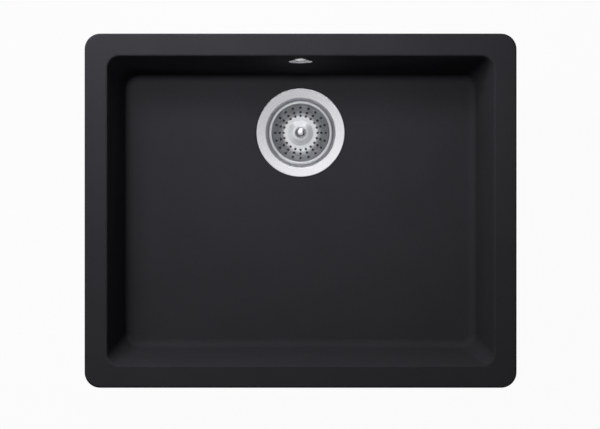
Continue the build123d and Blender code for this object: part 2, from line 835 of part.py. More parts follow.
export_step(overflow_head.part, "parts/overflow_head.step")

# Head insert: threaded brass bush for the rosette's screw
with BuildPart() as head_insert:
    with BuildSketch(overflow_face.offset(boss_face_level)):
        Circle(head_insert_radius)
        Circle(overflow_screw_radius + glue_gap, mode=Mode.SUBTRACT)
    extrude(amount=-head_insert_length)
head_insert.part.label = "head_insert"
export_step(head_insert.part, "parts/head_insert.step")

# Compression joints: a tapered seal and a ribbed nut, drawn outwards from each spigot's end
pipe_corner = (port_z - pipe_section.origin.Z) / wall_up.Z
socket_top = pipe_corner + elbow_leg_length
pipe_bottom = socket_top - pipe_insertion
upper_joint = Plane(pipe_level(spigot_end).origin, x_dir=(1, 0, 0), z_dir=-wall_normal)
lower_joint = Plane(pipe_level(socket_top).origin, x_dir=(1, 0, 0), z_dir=wall_normal)
pipe_nut_end = seal_cone_height + pipe_nut_lip
pipe_nut_start = pipe_nut_end - pipe_nut_height

for joint_name, joint in (("upper", upper_joint), ("lower", lower_joint)):
    joint_axis = Axis(joint.origin, joint.y_dir)
    with BuildPart() as cone_seal:
        with BuildSketch(joint):
            with BuildLine():
                Polyline(
                    (pipe_radius + glue_gap, 0),
                    (spigot_radius, 0),
                    (pipe_radius + seal_cone_tip, seal_cone_height),
                    (pipe_radius + glue_gap, seal_cone_height),
                    close=True,
                )
            make_face()
        revolve(axis=joint_axis)
    cone_seal.part.label = f"{joint_name}_cone_seal"
    export_step(cone_seal.part, f"parts/{joint_name}_cone_seal.step")

    with BuildPart() as pipe_nut:
        with BuildSketch(joint):
            with BuildLine():
                Polyline(
                    (spigot_radius + glue_gap, pipe_nut_start),
                    (pipe_nut_radius, pipe_nut_start),
                    (pipe_nut_radius, pipe_nut_end),
                    (pipe_radius + slip_gap, pipe_nut_end),
                    (pipe_radius + slip_gap, seal_cone_height),
                    (pipe_radius + seal_cone_tip + glue_gap, seal_cone_height),
                    (spigot_radius + glue_gap, 0),
                    close=True,
                )
            make_face()
        revolve(axis=joint_axis)
        with BuildSketch(Plane(joint.origin, x_dir=(1, 0, 0), z_dir=joint.y_dir).offset(pipe_nut_start)):
            with PolarLocations(pipe_nut_radius, pipe_nut_grip_count):
                Circle(pipe_nut_grip_radius)
        extrude(amount=pipe_nut_height - pipe_nut_lip, mode=Mode.SUBTRACT)
    pipe_nut.part.label = f"{joint_name}_pipe_nut"
    export_step(pipe_nut.part, f"parts/{joint_name}_pipe_nut.step")

# Overflow pipe: straight tube between the two joints
with BuildPart() as overflow_pipe:
    with BuildSketch(pipe_level(pipe_bottom)):
        Circle(pipe_radius)
        Circle(pipe_radius - pipe_wall, mode=Mode.SUBTRACT)
    extrude(amount=pipe_top - pipe_bottom)
overflow_pipe.part.label = "overflow_pipe"
export_step(overflow_pipe.part, "parts/overflow_pipe.step")

# Overflow elbow: socket for the pipe, bend, and collar for the union
collar_y = port_end_y + port_seal_thickness
elbow_top = pipe_level(pipe_bottom)
elbow_corner = pipe_level(pipe_corner).origin
collar_level = Plane((0, collar_y, port_z), x_dir=(1, 0, 0), z_dir=(0, 1, 0))

with BuildPart() as overflow_elbow:
    with BuildLine() as elbow_path:
        FilletPolyline(
            elbow_top.origin,
            elbow_corner,
            collar_level.origin,
            radius=elbow_bend_radius,
        )
    with BuildSketch(elbow_top):
        Circle(pipe_radius)
        Circle(pipe_radius - pipe_wall, mode=Mode.SUBTRACT)
    sweep(path=elbow_path.wires()[0])
    with BuildSketch(pipe_level(socket_top)):
        Circle(spigot_radius)
        Circle(pipe_radius - pipe_wall, mode=Mode.SUBTRACT)
    extrude(amount=-socket_height)
    with BuildSketch(pipe_level(socket_top)):
        Circle(pipe_radius + slip_gap)
    extrude(amount=-pipe_insertion, mode=Mode.SUBTRACT)
    with BuildSketch(collar_level):
        Circle(elbow_collar_radius)
        Circle(pipe_radius - pipe_wall, mode=Mode.SUBTRACT)
    extrude(amount=elbow_collar_thickness)
overflow_elbow.part.label = "overflow_elbow"
export_step(overflow_elbow.part, "parts/overflow_elbow.step")

# Port seal: flat ring between port and collar
port_face = Plane((0, port_end_y, port_z), x_dir=(1, 0, 0), z_dir=(0, 1, 0))

with BuildPart() as port_seal:
    with BuildSketch(port_face):
        Circle(elbow_collar_radius)
        Circle(port_bore_radius, mode=Mode.SUBTRACT)
    extrude(amount=port_seal_thickness)
port_seal.part.label = "port_seal"
export_step(port_seal.part, "parts/port_seal.step")

# Port nut: ribbed union nut whose lip draws the collar onto the seal
port_lip_y = collar_y + elbow_collar_thickness
port_nut_end_y = port_lip_y + port_nut_lip
port_nut_start_y = port_nut_end_y - port_nut_height

with BuildPart() as port_nut:
    with BuildSketch(port_level):
        with BuildLine():
            Polyline(
                (port_radius + glue_gap, port_nut_start_y),
                (port_nut_radius, port_nut_start_y),
                (port_nut_radius, port_nut_end_y),
                (spigot_radius + slip_gap, port_nut_end_y),
                (spigot_radius + slip_gap, port_lip_y),
                (port_radius + glue_gap, port_lip_y),
                close=True,
            )
        make_face()
    revolve(axis=port_axis)
    with BuildSketch(Plane((0, port_nut_start_y, port_z), x_dir=(1, 0, 0), z_dir=(0, 1, 0))):
        with PolarLocations(port_nut_radius, port_nut_grip_count):
            Circle(port_nut_grip_radius)
    extrude(amount=port_nut_height - port_nut_lip, mode=Mode.SUBTRACT)
port_nut.part.label = "port_nut"
export_step(port_nut.part, "parts/port_nut.step")
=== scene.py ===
"""Looks of an undermount stone kitchen sink with its strainer waste and rear overflow.

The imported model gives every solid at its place, in metres, with the rim's top at height 0.
This script dresses those solids, adds the screw threads and a finer overflow cover, and sets
up the plain studio.
"""

import logging
import math
from collections.abc import Callable
from dataclasses import dataclass
from enum import Enum

import bmesh
import bpy
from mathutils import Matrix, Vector


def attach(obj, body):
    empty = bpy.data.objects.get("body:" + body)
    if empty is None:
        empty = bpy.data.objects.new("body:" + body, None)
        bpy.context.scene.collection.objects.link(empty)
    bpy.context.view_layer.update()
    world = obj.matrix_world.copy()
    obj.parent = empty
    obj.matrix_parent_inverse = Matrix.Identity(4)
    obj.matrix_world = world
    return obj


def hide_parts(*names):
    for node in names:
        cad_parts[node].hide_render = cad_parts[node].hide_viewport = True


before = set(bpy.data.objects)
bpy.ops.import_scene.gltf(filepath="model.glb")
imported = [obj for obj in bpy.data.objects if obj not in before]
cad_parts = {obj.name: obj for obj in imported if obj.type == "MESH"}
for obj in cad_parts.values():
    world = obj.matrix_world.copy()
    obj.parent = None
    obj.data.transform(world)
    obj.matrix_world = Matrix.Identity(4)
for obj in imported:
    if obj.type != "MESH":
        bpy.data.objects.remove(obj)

logging.basicConfig(level=logging.INFO, format="%(message)s")
log = logging.getLogger("stone_sink")

Pair = tuple[float, float]
Triple = tuple[float, float, float]
# Start and end of a range, and what they become.
Ramp = tuple[float, float, float, float]
Socket = bpy.types.NodeSocket

MILLIMETRE = 0.001
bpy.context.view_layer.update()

# A face counts as flat when its normal's share along Z is past this.
FLAT = 0.9
BEVEL_SEGMENTS = 3
# Where a noise's values mostly lie.
NOISE_RANGE = (0.3, 0.7)
DUST_COLOUR = (0.35, 0.34, 0.32, 1.0)

# A point on the waste's axis, at the bowl's underside.
DRAIN_POINT = (0.0, 101.6 * MILLIMETRE, -200.0 * MILLIMETRE)
# Where the overflow's axis meets the rear wall, and the wall's draft in degrees.
WALL_POINT = (0.0, 194.67 * MILLIMETRE, -38.0 * MILLIMETRE)
WALL_DRAFT = 6.5


class ThreadSide(Enum):
    """Which way a thread's ridge points."""

    OUTSIDE = 1.0
    INSIDE = -1.0


class MeshPart(Enum):
    """What a selection in edit mode is made of."""

    CORNERS = "VERT"
    FACES = "FACE"


def deselect_all() -> None:
    """Leave object mode's selection empty."""
    if bpy.context.object and bpy.context.object.mode != "OBJECT":
        bpy.ops.object.mode_set(mode="OBJECT")
    bpy.ops.object.select_all(action="DESELECT")


def make_active(piece: bpy.types.Object) -> None:
    """Select one piece alone and make it the active one.

    Args:
        piece: The object to work on.
    """
    deselect_all()
    piece.select_set(True)
    bpy.context.view_layer.objects.active = piece


def settle(piece: bpy.types.Object) -> bpy.types.Object:
    """Move a piece's place, turn and size into its mesh.

    Args:
        piece: The finished object.

    Returns:
        The same object, now at the origin.
    """
    make_active(piece)
    bpy.ops.object.transform_apply(location=True, rotation=True, scale=True)
    return piece


def pick(piece: bpy.types.Object, part: MeshPart, wanted: Callable[[Vector, Vector], bool]) -> None:
    """Select the parts of a mesh in edit mode by their place and normal.

    Args:
        piece: The object in edit mode.
        part: Corners or faces.
        wanted: A test of a part's middle and its normal.
    """
    bpy.ops.mesh.select_mode(type=part.value)
    bpy.ops.mesh.select_all(action="DESELECT")
    cage = bmesh.from_edit_mesh(piece.data)
    if part is MeshPart.FACES:
        for face in cage.faces:
            if wanted(face.calc_center_median(), face.normal):
                face.select_set(True)
    else:
        for corner in cage.verts:
            if wanted(corner.co, corner.normal):
                corner.select_set(True)
    cage.select_flush_mode()
    bmesh.update_edit_mesh(piece.data)


def leave_edit_mode() -> None:
    """Turn all faces of the mesh in edit mode outwards and go back to object mode."""
    bpy.ops.mesh.select_all(action="SELECT")
    bpy.ops.mesh.normals_make_consistent(inside=False)
    bpy.ops.object.mode_set(mode="OBJECT")


def apply_bevel(piece: bpy.types.Object, width: float, corner: float) -> None:
    """Round a piece's sharp edges with a Bevel modifier and apply it.

    Args:
        piece: The object to round.
        width: The bevel's width in metres.
        corner: The least angle in degrees that counts as sharp.
    """
    rounding = piece.modifiers.new("rounding", "BEVEL")
    rounding.width = width
    rounding.segments = BEVEL_SEGMENTS
    rounding.limit_method = "ANGLE"
    rounding.angle_limit = math.radians(corner)
    make_active(piece)
    bpy.ops.object.modifier_apply(modifier=rounding.name)
    bpy.ops.object.shade_smooth_by_angle(angle=math.radians(corner))


def hand_over(piece: bpy.types.Object, material: bpy.types.Material, body: str) -> None:
    """Dress a new piece and say which body carries it.

    Args:
        piece: The finished object.
        material: Its finish.
        body: The body that it moves with.
    """
    piece.data.materials.clear()
    piece.data.materials.append(material)
    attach(piece, body)
    log.info("made %s in %s", piece.name, material.name)


def dress(material: bpy.types.Material, *nodes: str) -> None:
    """Give solids their finish.

    Args:
        material: The finish to show.
        nodes: The solids' names.
    """
    for node in nodes:
        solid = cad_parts[node]
        solid.data.materials.clear()
        solid.data.materials.append(material)
        log.info("dressed %s in %s", node, material.name)


class NodeBench:
    """A node tree that is being wired."""

    def __init__(self, tree: bpy.types.NodeTree) -> None:
        """Keep the tree, a material's, a world's or a group's."""
        self.tree = tree

    def add(self, kind: str, **settings: object) -> bpy.types.Node:
        """Add a node and set its properties.

        Args:
            kind: The node's class name.
            settings: Properties of the node by name.

        Returns:
            The new node.
        """
        node = self.tree.nodes.new(kind)
        for name, value in settings.items():
            setattr(node, name, value)
        return node

    def feed(self, socket: Socket, source: object) -> None:
        """Give a socket a constant or a link.

        Args:
            socket: The input to set.
            source: A number, a sequence, or an output socket.
        """
        if isinstance(source, Socket):
            self.tree.links.new(source, socket)
        else:
            socket.default_value = source

    def math(self, operation: str, first: object, second: object = 0.0) -> Socket:
        """Add a Math node.

        Args:
            operation: The node's operation.
            first: Number or socket.
            second: Number or socket.

        Returns:
            The result's socket.
        """
        node = self.add("ShaderNodeMath", operation=operation)
        self.feed(node.inputs[0], first)
        self.feed(node.inputs[1], second)
        return node.outputs[0]

    def times(self, first: object, second: object) -> Socket:
        """Multiply two numbers or sockets."""
        return self.math("MULTIPLY", first, second)

    def plus(self, first: object, second: object) -> Socket:
        """Add two numbers or sockets."""
        return self.math("ADD", first, second)

    def split(self, vector: object) -> dict[str, Socket]:
        """Take a vector apart.

        Args:
            vector: The vector's socket.

        Returns:
            Its X, Y and Z.
        """
        node = self.add("ShaderNodeSeparateXYZ")
        self.feed(node.inputs[0], vector)
        return {part.name: part for part in node.outputs}

    def scaled(self, vector: object, factor: object) -> Socket:
        """Scale a vector or a colour.

        Args:
            vector: The vector's socket.
            factor: Number or socket.

        Returns:
            The scaled vector.
        """
        node = self.add("ShaderNodeVectorMath", operation="SCALE")
        self.feed(node.inputs[0], vector)
        self.feed(node.inputs["Scale"], factor)
        return node.outputs[0]

    def spread(self, value: object, low: object, high: object, to_low: object, to_high: object) -> Socket:
        """Map a range to another and clamp it.

        Args:
            value: The socket to map.
            low: Start of its range.
            high: End of its range.
            to_low: What the start becomes.
            to_high: What the end becomes.

        Returns:
            The mapped socket.
        """
        node = self.add("ShaderNodeMapRange")
        self.feed(node.inputs["Value"], value)
        self.feed(node.inputs["From Min"], low)
        self.feed(node.inputs["From Max"], high)
        self.feed(node.inputs["To Min"], to_low)
        self.feed(node.inputs["To Max"], to_high)
        return node.outputs["Result"]

    def vary(self, noise: object, middle: float, swing: float) -> Socket:
        """Map a noise's usual range to a number plus or minus a swing."""
        return self.spread(noise, *NOISE_RANGE, middle - swing, middle + swing)

    def noise(self, vector: object, scale: object, detail: float = 2.0, roughness: float = 0.5) -> Socket:
        """Add a noise texture.

        Args:
            vector: Coordinates.
            scale: Cycles per metre.
            detail: Octaves.
            roughness: Weight of the finer octaves.

        Returns:
            The factor's socket.
        """
        node = self.add("ShaderNodeTexNoise")
        self.feed(node.inputs["Vector"], vector)
        self.feed(node.inputs["Scale"], scale)
        self.feed(node.inputs["Detail"], detail)
        self.feed(node.inputs["Roughness"], roughness)
        return node.outputs["Fac"]

    def blend(self, factor: object, first: object, second: object) -> Socket:
        """Mix two numbers.

        Args:
            factor: Share of the second.
            first: Number or socket.
            second: Number or socket.

        Returns:
            The mixed number's socket.
        """
        node = self.add("ShaderNodeMix", data_type="FLOAT")
        self.feed(node.inputs[0], factor)
        self.feed(node.inputs[2], first)
        self.feed(node.inputs[3], second)
        return node.outputs[0]

    def mix(self, factor: object, first: object, second: object) -> Socket:
        """Mix two colours.

        Args:
            factor: Share of the second.
            first: Colour or socket.
            second: Colour or socket.

        Returns:
            The mixed colour's socket.
        """
        node = self.add("ShaderNodeMix", data_type="RGBA")
        self.feed(node.inputs["Factor"], factor)
        self.feed(node.inputs[6], first)
        self.feed(node.inputs[7], second)
        return node.outputs[2]

    def mix_shaders(self, factor: Socket, first: Socket, second: Socket) -> Socket:
        """Mix two shaders.

        Args:
            factor: Share of the second.
            first: The first shader's socket.
            second: The second shader's socket.

        Returns:
            The mixed shader's socket.
        """
        node = self.add("ShaderNodeMixShader")
        for socket, source in zip(node.inputs, (factor, first, second)):
            self.feed(socket, source)
        return node.outputs[0]

    def group(self, tree: bpy.types.NodeTree, **inputs: object) -> bpy.types.Node:
        """Place a node group.

        Args:
            tree: The group's tree.
            inputs: Its inputs by name, with underscores for spaces.

        Returns:
            The group node.
        """
        node = self.add("ShaderNodeGroup")
        node.node_tree = tree
        for name, value in inputs.items():
            self.feed(node.inputs[name.replace("_", " ")], value)
        return node


def new_group(
    name: str, numbers: tuple[str, ...], results: tuple[str, ...]
) -> tuple[NodeBench, dict[str, Socket], dict[str, Socket]]:
    """Start a shader node group that takes a vector and numbers, and gives numbers.

    Args:
        name: The group's name.
        numbers: Names of the inputs that follow its Vector.
        results: Names of its outputs.

    Returns:
        The bench, the input sockets by name and the output sockets by name.
    """
    tree = bpy.data.node_groups.new(name, "ShaderNodeTree")
    tree.interface.new_socket("Vector", in_out="INPUT", socket_type="NodeSocketVector")
    for label in numbers:
        tree.interface.new_socket(label, in_out="INPUT", socket_type="NodeSocketFloat")
    for label in results:
        tree.interface.new_socket(label, in_out="OUTPUT", socket_type="NodeSocketFloat")
    bench = NodeBench(tree)
    entry = bench.add("NodeGroupInput")
    leave = bench.add("NodeGroupOutput")
    return bench, {s.name: s for s in entry.outputs}, {s.name: s for s in leave.inputs}


def build_grain_group() -> bpy.types.NodeTree:
    """Build the even grain that all moulded and cast surfaces share.

    Returns:
        The group: value around one half, and a height.
    """
    bench, given, result = new_group("even_grain", ("Scale",), ("Value", "Height"))
    fineness, coarse_share, fine_share = 3.7, 0.6, 0.4
    coarse = bench.noise(given["Vector"], given["Scale"], detail=3.0, roughness=0.6)
    fine = bench.noise(given["Vector"], bench.times(given["Scale"], fineness))
    bench.feed(result["Value"], coarse)
    height = bench.plus(bench.times(coarse, coarse_share), bench.times(fine, fine_share))
    bench.feed(result["Height"], height)
    return bench.tree


def build_rings_group() -> bpy.types.NodeTree:
    """Build fine rings about the Z axis of the coordinates given, as a lathe or a mop leaves them.

    Returns:
        The group: a value that changes from ring to ring, and a height.
    """
    bench, given, result = new_group("turned_rings", ("Rings",), ("Value", "Height"))
    wander = 0.55
    parts = bench.split(given["Vector"])
    squares = bench.plus(bench.times(parts["X"], parts["X"]), bench.times(parts["Y"], parts["Y"]))
    radius = bench.math("SQRT", squares)
    angle = bench.math("ARCTAN2", parts["Y"], parts["X"])
    place = bench.add("ShaderNodeCombineXYZ")
    bench.feed(place.inputs["X"], bench.times(radius, given["Rings"]))
    bench.feed(place.inputs["Y"], bench.times(bench.math("SINE", angle), wander))
    bench.feed(place.inputs["Z"], bench.times(parts["Z"], given["Rings"]))
    rings = bench.noise(place.outputs[0], 1.0, detail=3.0, roughness=0.65)
    bench.feed(result["Value"], rings)
    bench.feed(result["Height"], rings)
    return bench.tree


def build_flecks_group() -> bpy.types.NodeTree:
    """Build small mineral flecks with soft edges.

    Returns:
        The group: a mask that is 1 in a fleck, and a tint that differs from fleck to fleck.
    """
    bench, given, result = new_group("mineral_flecks", ("Scale", "Share"), ("Mask", "Tint"))
    core, edge = 0.18, 0.34
    cells = bench.add("ShaderNodeTexVoronoi")
    bench.feed(cells.inputs["Vector"], given["Vector"])
    bench.feed(cells.inputs["Scale"], given["Scale"])
    tint = bench.add("ShaderNodeSeparateColor")
    bench.feed(tint.inputs[0], cells.outputs["Color"])
    chosen = bench.math("LESS_THAN", tint.outputs[0], given["Share"])
    middle = bench.spread(cells.outputs["Distance"], core, edge, 1.0, 0.0)
    bench.feed(result["Mask"], bench.times(chosen, middle))
    bench.feed(result["Tint"], tint.outputs[1])
    return bench.tree


def build_handling_group() -> bpy.types.NodeTree:
    """Build the faint blotches that wiping and handling leave on a surface.

    Returns:
        The group: a mask from 0 to 1.
    """
    bench, given, result = new_group("handling_marks", ("Scale",), ("Mask",))
    warp_scale, least_warp, faint, full = 0.4, 0.6, 0.42, 0.68
    warp = bench.noise(given["Vector"], bench.times(given["Scale"], warp_scale), detail=1.0)
    shifted = bench.scaled(given["Vector"], bench.plus(warp, least_warp))
    blotches = bench.noise(shifted, given["Scale"], detail=4.0, roughness=0.6)
    bench.feed(result["Mask"], bench.spread(blotches, faint, full, 0.0, 1.0))
    return bench.tree


def build_band_group() -> bpy.types.NodeTree:
    """Build a ring-shaped mask about the Z axis of the coordinates given, where shade is painted.

    Returns:
        The group: a mask that is 1 inside the ring and fades at its edges.
    """
    edges = ("Inner Start", "Inner Full", "Outer Full", "Outer End")
    bench, given, result = new_group("radial_band", edges, ("Mask",))
    flat = bench.add("ShaderNodeVectorMath", operation="MULTIPLY")
    bench.feed(flat.inputs[0], given["Vector"])
    bench.feed(flat.inputs[1], (1.0, 1.0, 0.0))
    length = bench.add("ShaderNodeVectorMath", operation="LENGTH")
    bench.feed(length.inputs[0], flat.outputs[0])
    radius = length.outputs["Value"]
    rise = bench.spread(radius, given["Inner Start"], given["Inner Full"], 0.0, 1.0)
    fall = bench.spread(radius, given["Outer Full"], given["Outer End"], 1.0, 0.0)
    bench.feed(result["Mask"], bench.times(rise, fall))
    return bench.tree


def build_parting_group() -> bpy.types.NodeTree:
    """Build the fine raised line where the two halves of a mould met, at X = 0.

    Returns:
        The group: a height from 0 to 1.
    """
    bench, given, result = new_group("parting_line", ("Width",), ("Height",))
    crest_share = 0.3
    aside = bench.math("ABSOLUTE", bench.split(given["Vector"])["X"])
    crest = bench.times(given["Width"], crest_share)
    bench.feed(result["Height"], bench.spread(aside, crest, given["Width"], 1.0, 0.0))
    return bench.tree


@dataclass(frozen=True)
class Effects:
    """The node groups that the finishes share."""

    grain: bpy.types.NodeTree
    rings: bpy.types.NodeTree
    flecks: bpy.types.NodeTree
    handling: bpy.types.NodeTree
    band: bpy.types.NodeTree
    parting: bpy.types.NodeTree


@dataclass(frozen=True)
class AxisPlace:
    """Where a turned piece's axis stands, and its tilt about X in radians."""

    point: Triple
    tilt: float


@dataclass(frozen=True)
class PaintedShadeBand:
    """A ring of a turned or pressed piece whose colour is darker than the rest, as painted shade, by radius
    in metres.
    """

    inner_start: float
    inner_full: float
    outer_full: float
    outer_end: float
    shade: float


@dataclass(frozen=True)
class Finish:
    """A surface finish: the base that the others build on."""

    name: str
    colour: Triple
    roughness: float

    def start(self) -> tuple[bpy.types.Material, NodeBench, bpy.types.Node, Socket]:
        """Make the material with its shader.

        Returns:
            The material, its bench, the shader node and the object coordinates.
        """
        material = bpy.data.materials.new(self.name)
        material.use_nodes = True
        material.diffuse_color = (*self.colour, 1.0)
        bench = NodeBench(material.node_tree)
        shader = material.node_tree.nodes["Principled BSDF"]
        place = bench.add("ShaderNodeTexCoord")
        return material, bench, shader, place.outputs["Object"]

    def tone(self, shade: float) -> tuple[float, float, float, float]:
        """Return the colour times a shade, where 1 leaves it as it is, and its alpha."""
        return (*(min(1.0, part * shade) for part in self.colour), 1.0)

    def between(self, bench: NodeBench, factor: object, shades: Pair) -> Socket:
        """Mix two shades of the colour by a factor, which is the share of the second."""
        return bench.mix(factor, self.tone(shades[0]), self.tone(shades[1]))

    def bump(
        self, bench: NodeBench, shader: bpy.types.Node, height: Socket, depth: float, strength: float
    ) -> None:
        """Feed a height to the shader's normal.

        Args:
            bench: The material's bench.
            shader: The shader node.
            height: The height's socket.
            depth: Distance in metres for a height of 1.
            strength: Share of the effect.
        """
        node = bench.add("ShaderNodeBump")
        bench.feed(node.inputs["Height"], height)
        bench.feed(node.inputs["Distance"], depth)
        bench.feed(node.inputs["Strength"], strength)
        bench.feed(shader.inputs["Normal"], node.outputs[0])


@dataclass(frozen=True)
class StoneComposite(Finish):
    """Dark cast stone: even mineral grain, sparse flecks, and a duller as-cast back."""

    specular: float = 0.02
    grain_scale: float = 950.0
    grain_shades: Pair = (0.72, 1.3)
    grain_roughness: float = 0.3
    fleck_scale: float = 620.0
    fleck_share: float = 0.16
    fleck_shades: Pair = (0.55, 2.1)
    fleck_cover: float = 0.55
    fleck_height: float = 0.25
    mottle_scale: float = 14.0
    mottle_swing: float = 0.04
    mark_scale: float = 9.0
    mark_roughness: Pair = (0.03, -0.04)
    back_shades: Pair = (0.9, 2.4)
    back_cover: float = 0.7
    back_roughness: float = 0.15
    back_outward: Pair = (0.02, 0.06)
    back_down: float = -0.3
    rim_underside: float = -11.5 * MILLIMETRE
    face_height: float = 0.6
    bump_depth: float = 0.12 * MILLIMETRE
    bump_strength: float = 0.55

    def build(self, effects: Effects) -> bpy.types.Material:
        """Wire the finish.

        Args:
            effects: The shared node groups.

        Returns:
            The material.
        """
        material, bench, shader, place = self.start()
        grain = bench.group(effects.grain, Vector=place, Scale=self.grain_scale)
        flecks = bench.group(effects.flecks, Vector=place, Scale=self.fleck_scale, Share=self.fleck_share)
        mottle = bench.noise(place, self.mottle_scale)
        body = self.between(bench, grain.outputs["Value"], self.grain_shades)
        evened = bench.scaled(body, bench.vary(mottle, 1.0, self.mottle_swing))
        fleck_colour = self.between(bench, flecks.outputs["Tint"], self.fleck_shades)
        face = bench.mix(bench.times(flecks.outputs["Mask"], self.fleck_cover), evened, fleck_colour)
        back = self.back_mask(bench, place)
        sandy = self.between(bench, grain.outputs["Value"], self.back_shades)
        bench.feed(shader.inputs["Base Color"], bench.mix(bench.times(back, self.back_cover), face, sandy))
        marks = bench.group(effects.handling, Vector=place, Scale=self.mark_scale)
        clean, wiped = (self.roughness + change for change in self.mark_roughness)
        worn = bench.spread(marks.outputs["Mask"], 0.0, 1.0, clean, wiped)
        grainy = bench.times(bench.math("SUBTRACT", grain.outputs["Value"], 0.5), self.grain_roughness)
        rough = bench.plus(bench.plus(worn, grainy), bench.times(back, self.back_roughness))
        bench.feed(shader.inputs["Roughness"], rough)
        shader.inputs["Specular IOR Level"].default_value = self.specular
        height = bench.plus(grain.outputs["Height"], bench.times(flecks.outputs["Mask"], self.fleck_height))
        raised = bench.times(height, bench.plus(back, self.face_height))
        self.bump(bench, shader, raised, self.bump_depth, self.bump_strength)
        return material

    def back_mask(self, bench: NodeBench, place: Socket) -> Socket:
        """Find the back: faces that look down, or below the rim away from the bowl's middle.

        Args:
            bench: The material's bench.
            place: Object coordinates.

        Returns:
            A mask that is 1 on the as-cast back.
        """
        normal = bench.split(bench.add("ShaderNodeNewGeometry").outputs["True Normal"])
        spot = bench.split(place)
        outward = bench.plus(bench.times(normal["X"], spot["X"]), bench.times(normal["Y"], spot["Y"]))
        away = bench.spread(outward, *self.back_outward, 0.0, 1.0)
        below_rim = bench.math("LESS_THAN", spot["Z"], self.rim_underside)
        down = bench.math("LESS_THAN", normal["Z"], self.back_down)
        return bench.math("MAXIMUM", bench.times(away, below_rim), down)


@dataclass(frozen=True)
class RingedMetal(Finish):
    """Bright metal with rings about its axis and faint wiping marks: the base of both metals."""

    axis: AxisPlace
    rings: float = 2600.0
    ring_depth: float = 0.012 * MILLIMETRE
    ring_shades: Pair = (0.93, 1.06)
    mark_scale: float = 55.0
    mark_cover: float = 0.25
    mark_shade: float = 0.88
    bump_strength: float = 0.6
    band: PaintedShadeBand | None = None

    def centre(self, bench: NodeBench, place: Socket) -> Socket:
        """Turn object coordinates to stand on the piece's own axis.

        Args:
            bench: The material's bench.
            place: Object coordinates.

        Returns:
            Coordinates whose Z runs along the axis.
        """
        centred = bench.add("ShaderNodeMapping", vector_type="TEXTURE")
        bench.feed(centred.inputs["Vector"], place)
        bench.feed(centred.inputs["Location"], self.axis.point)
        bench.feed(centred.inputs["Rotation"], (self.axis.tilt, 0.0, 0.0))
        return centred.outputs[0]

    def wiped(self, bench: NodeBench, rings: Socket, marks: Socket) -> Socket:
        """Colour the rings by their value, and the wiping marks over them by their mask."""
        ringed = self.between(bench, rings, self.ring_shades)
        return bench.mix(bench.times(marks, self.mark_cover), ringed, self.tone(self.mark_shade))

    def with_painted_shade(
        self, bench: NodeBench, group: bpy.types.NodeTree, centred: Socket, colour: Socket
    ) -> Socket:
        """Paint shade into the colour inside the band, where the piece has one.

        Args:
            bench: The material's bench.
            group: The ring-shaped mask.
            centred: Coordinates on the piece's axis.
            colour: The colour's socket.

        Returns:
            The colour, darker inside the ring.
        """
        if self.band is None:
            return colour
        # Painted shade: the colour is scaled down inside the ring.
        mask = bench.group(
            group,
            Vector=centred,
            Inner_Start=self.band.inner_start,
            Inner_Full=self.band.inner_full,
            Outer_Full=self.band.outer_full,
            Outer_End=self.band.outer_end,
        )
        return bench.scaled(colour, bench.spread(mask.outputs["Mask"], 0.0, 1.0, 1.0, self.band.shade))


@dataclass(frozen=True)
class TurnedMetal(RingedMetal):
    """Bright turned metal, with painted shade below a given height."""

    ring_roughness: float = 0.04
    mark_roughness: float = 0.05
    deep_below: float = -1.0
    deep_fade: float = 2.0 * MILLIMETRE
    deep_share: float = 0.7
    deep_shade: float = 0.12

    def build(self, effects: Effects) -> bpy.types.Material:
        """Wire the finish.

        Args:
            effects: The shared node groups.

        Returns:
            The material.
        """
        material, bench, shader, place = self.start()
        centred = self.centre(bench, place)
        rings = bench.group(effects.rings, Vector=centred, Rings=self.rings)
        marks = bench.group(effects.handling, Vector=place, Scale=self.mark_scale).outputs["Mask"]
        wiped = self.wiped(bench, rings.outputs["Value"], marks)
        # Painted shade: the colour darkens towards the deep shade below deep_below.
        fade_end = self.deep_below + self.deep_fade
        depth = bench.spread(bench.split(place)["Z"], self.deep_below, fade_end, self.deep_share, 0.0)
        deep = bench.mix(depth, wiped, self.tone(self.deep_shade))
        bench.feed(shader.inputs["Base Color"], self.with_painted_shade(bench, effects.band, centred, deep))
        shader.inputs["Metallic"].default_value = 1.0
        rough = bench.vary(rings.outputs["Value"], self.roughness, self.ring_roughness)
        bench.feed(shader.inputs["Roughness"], bench.plus(rough, bench.times(marks, self.mark_roughness)))
        self.bump(bench, shader, rings.outputs["Height"], self.ring_depth, self.bump_strength)
        return material


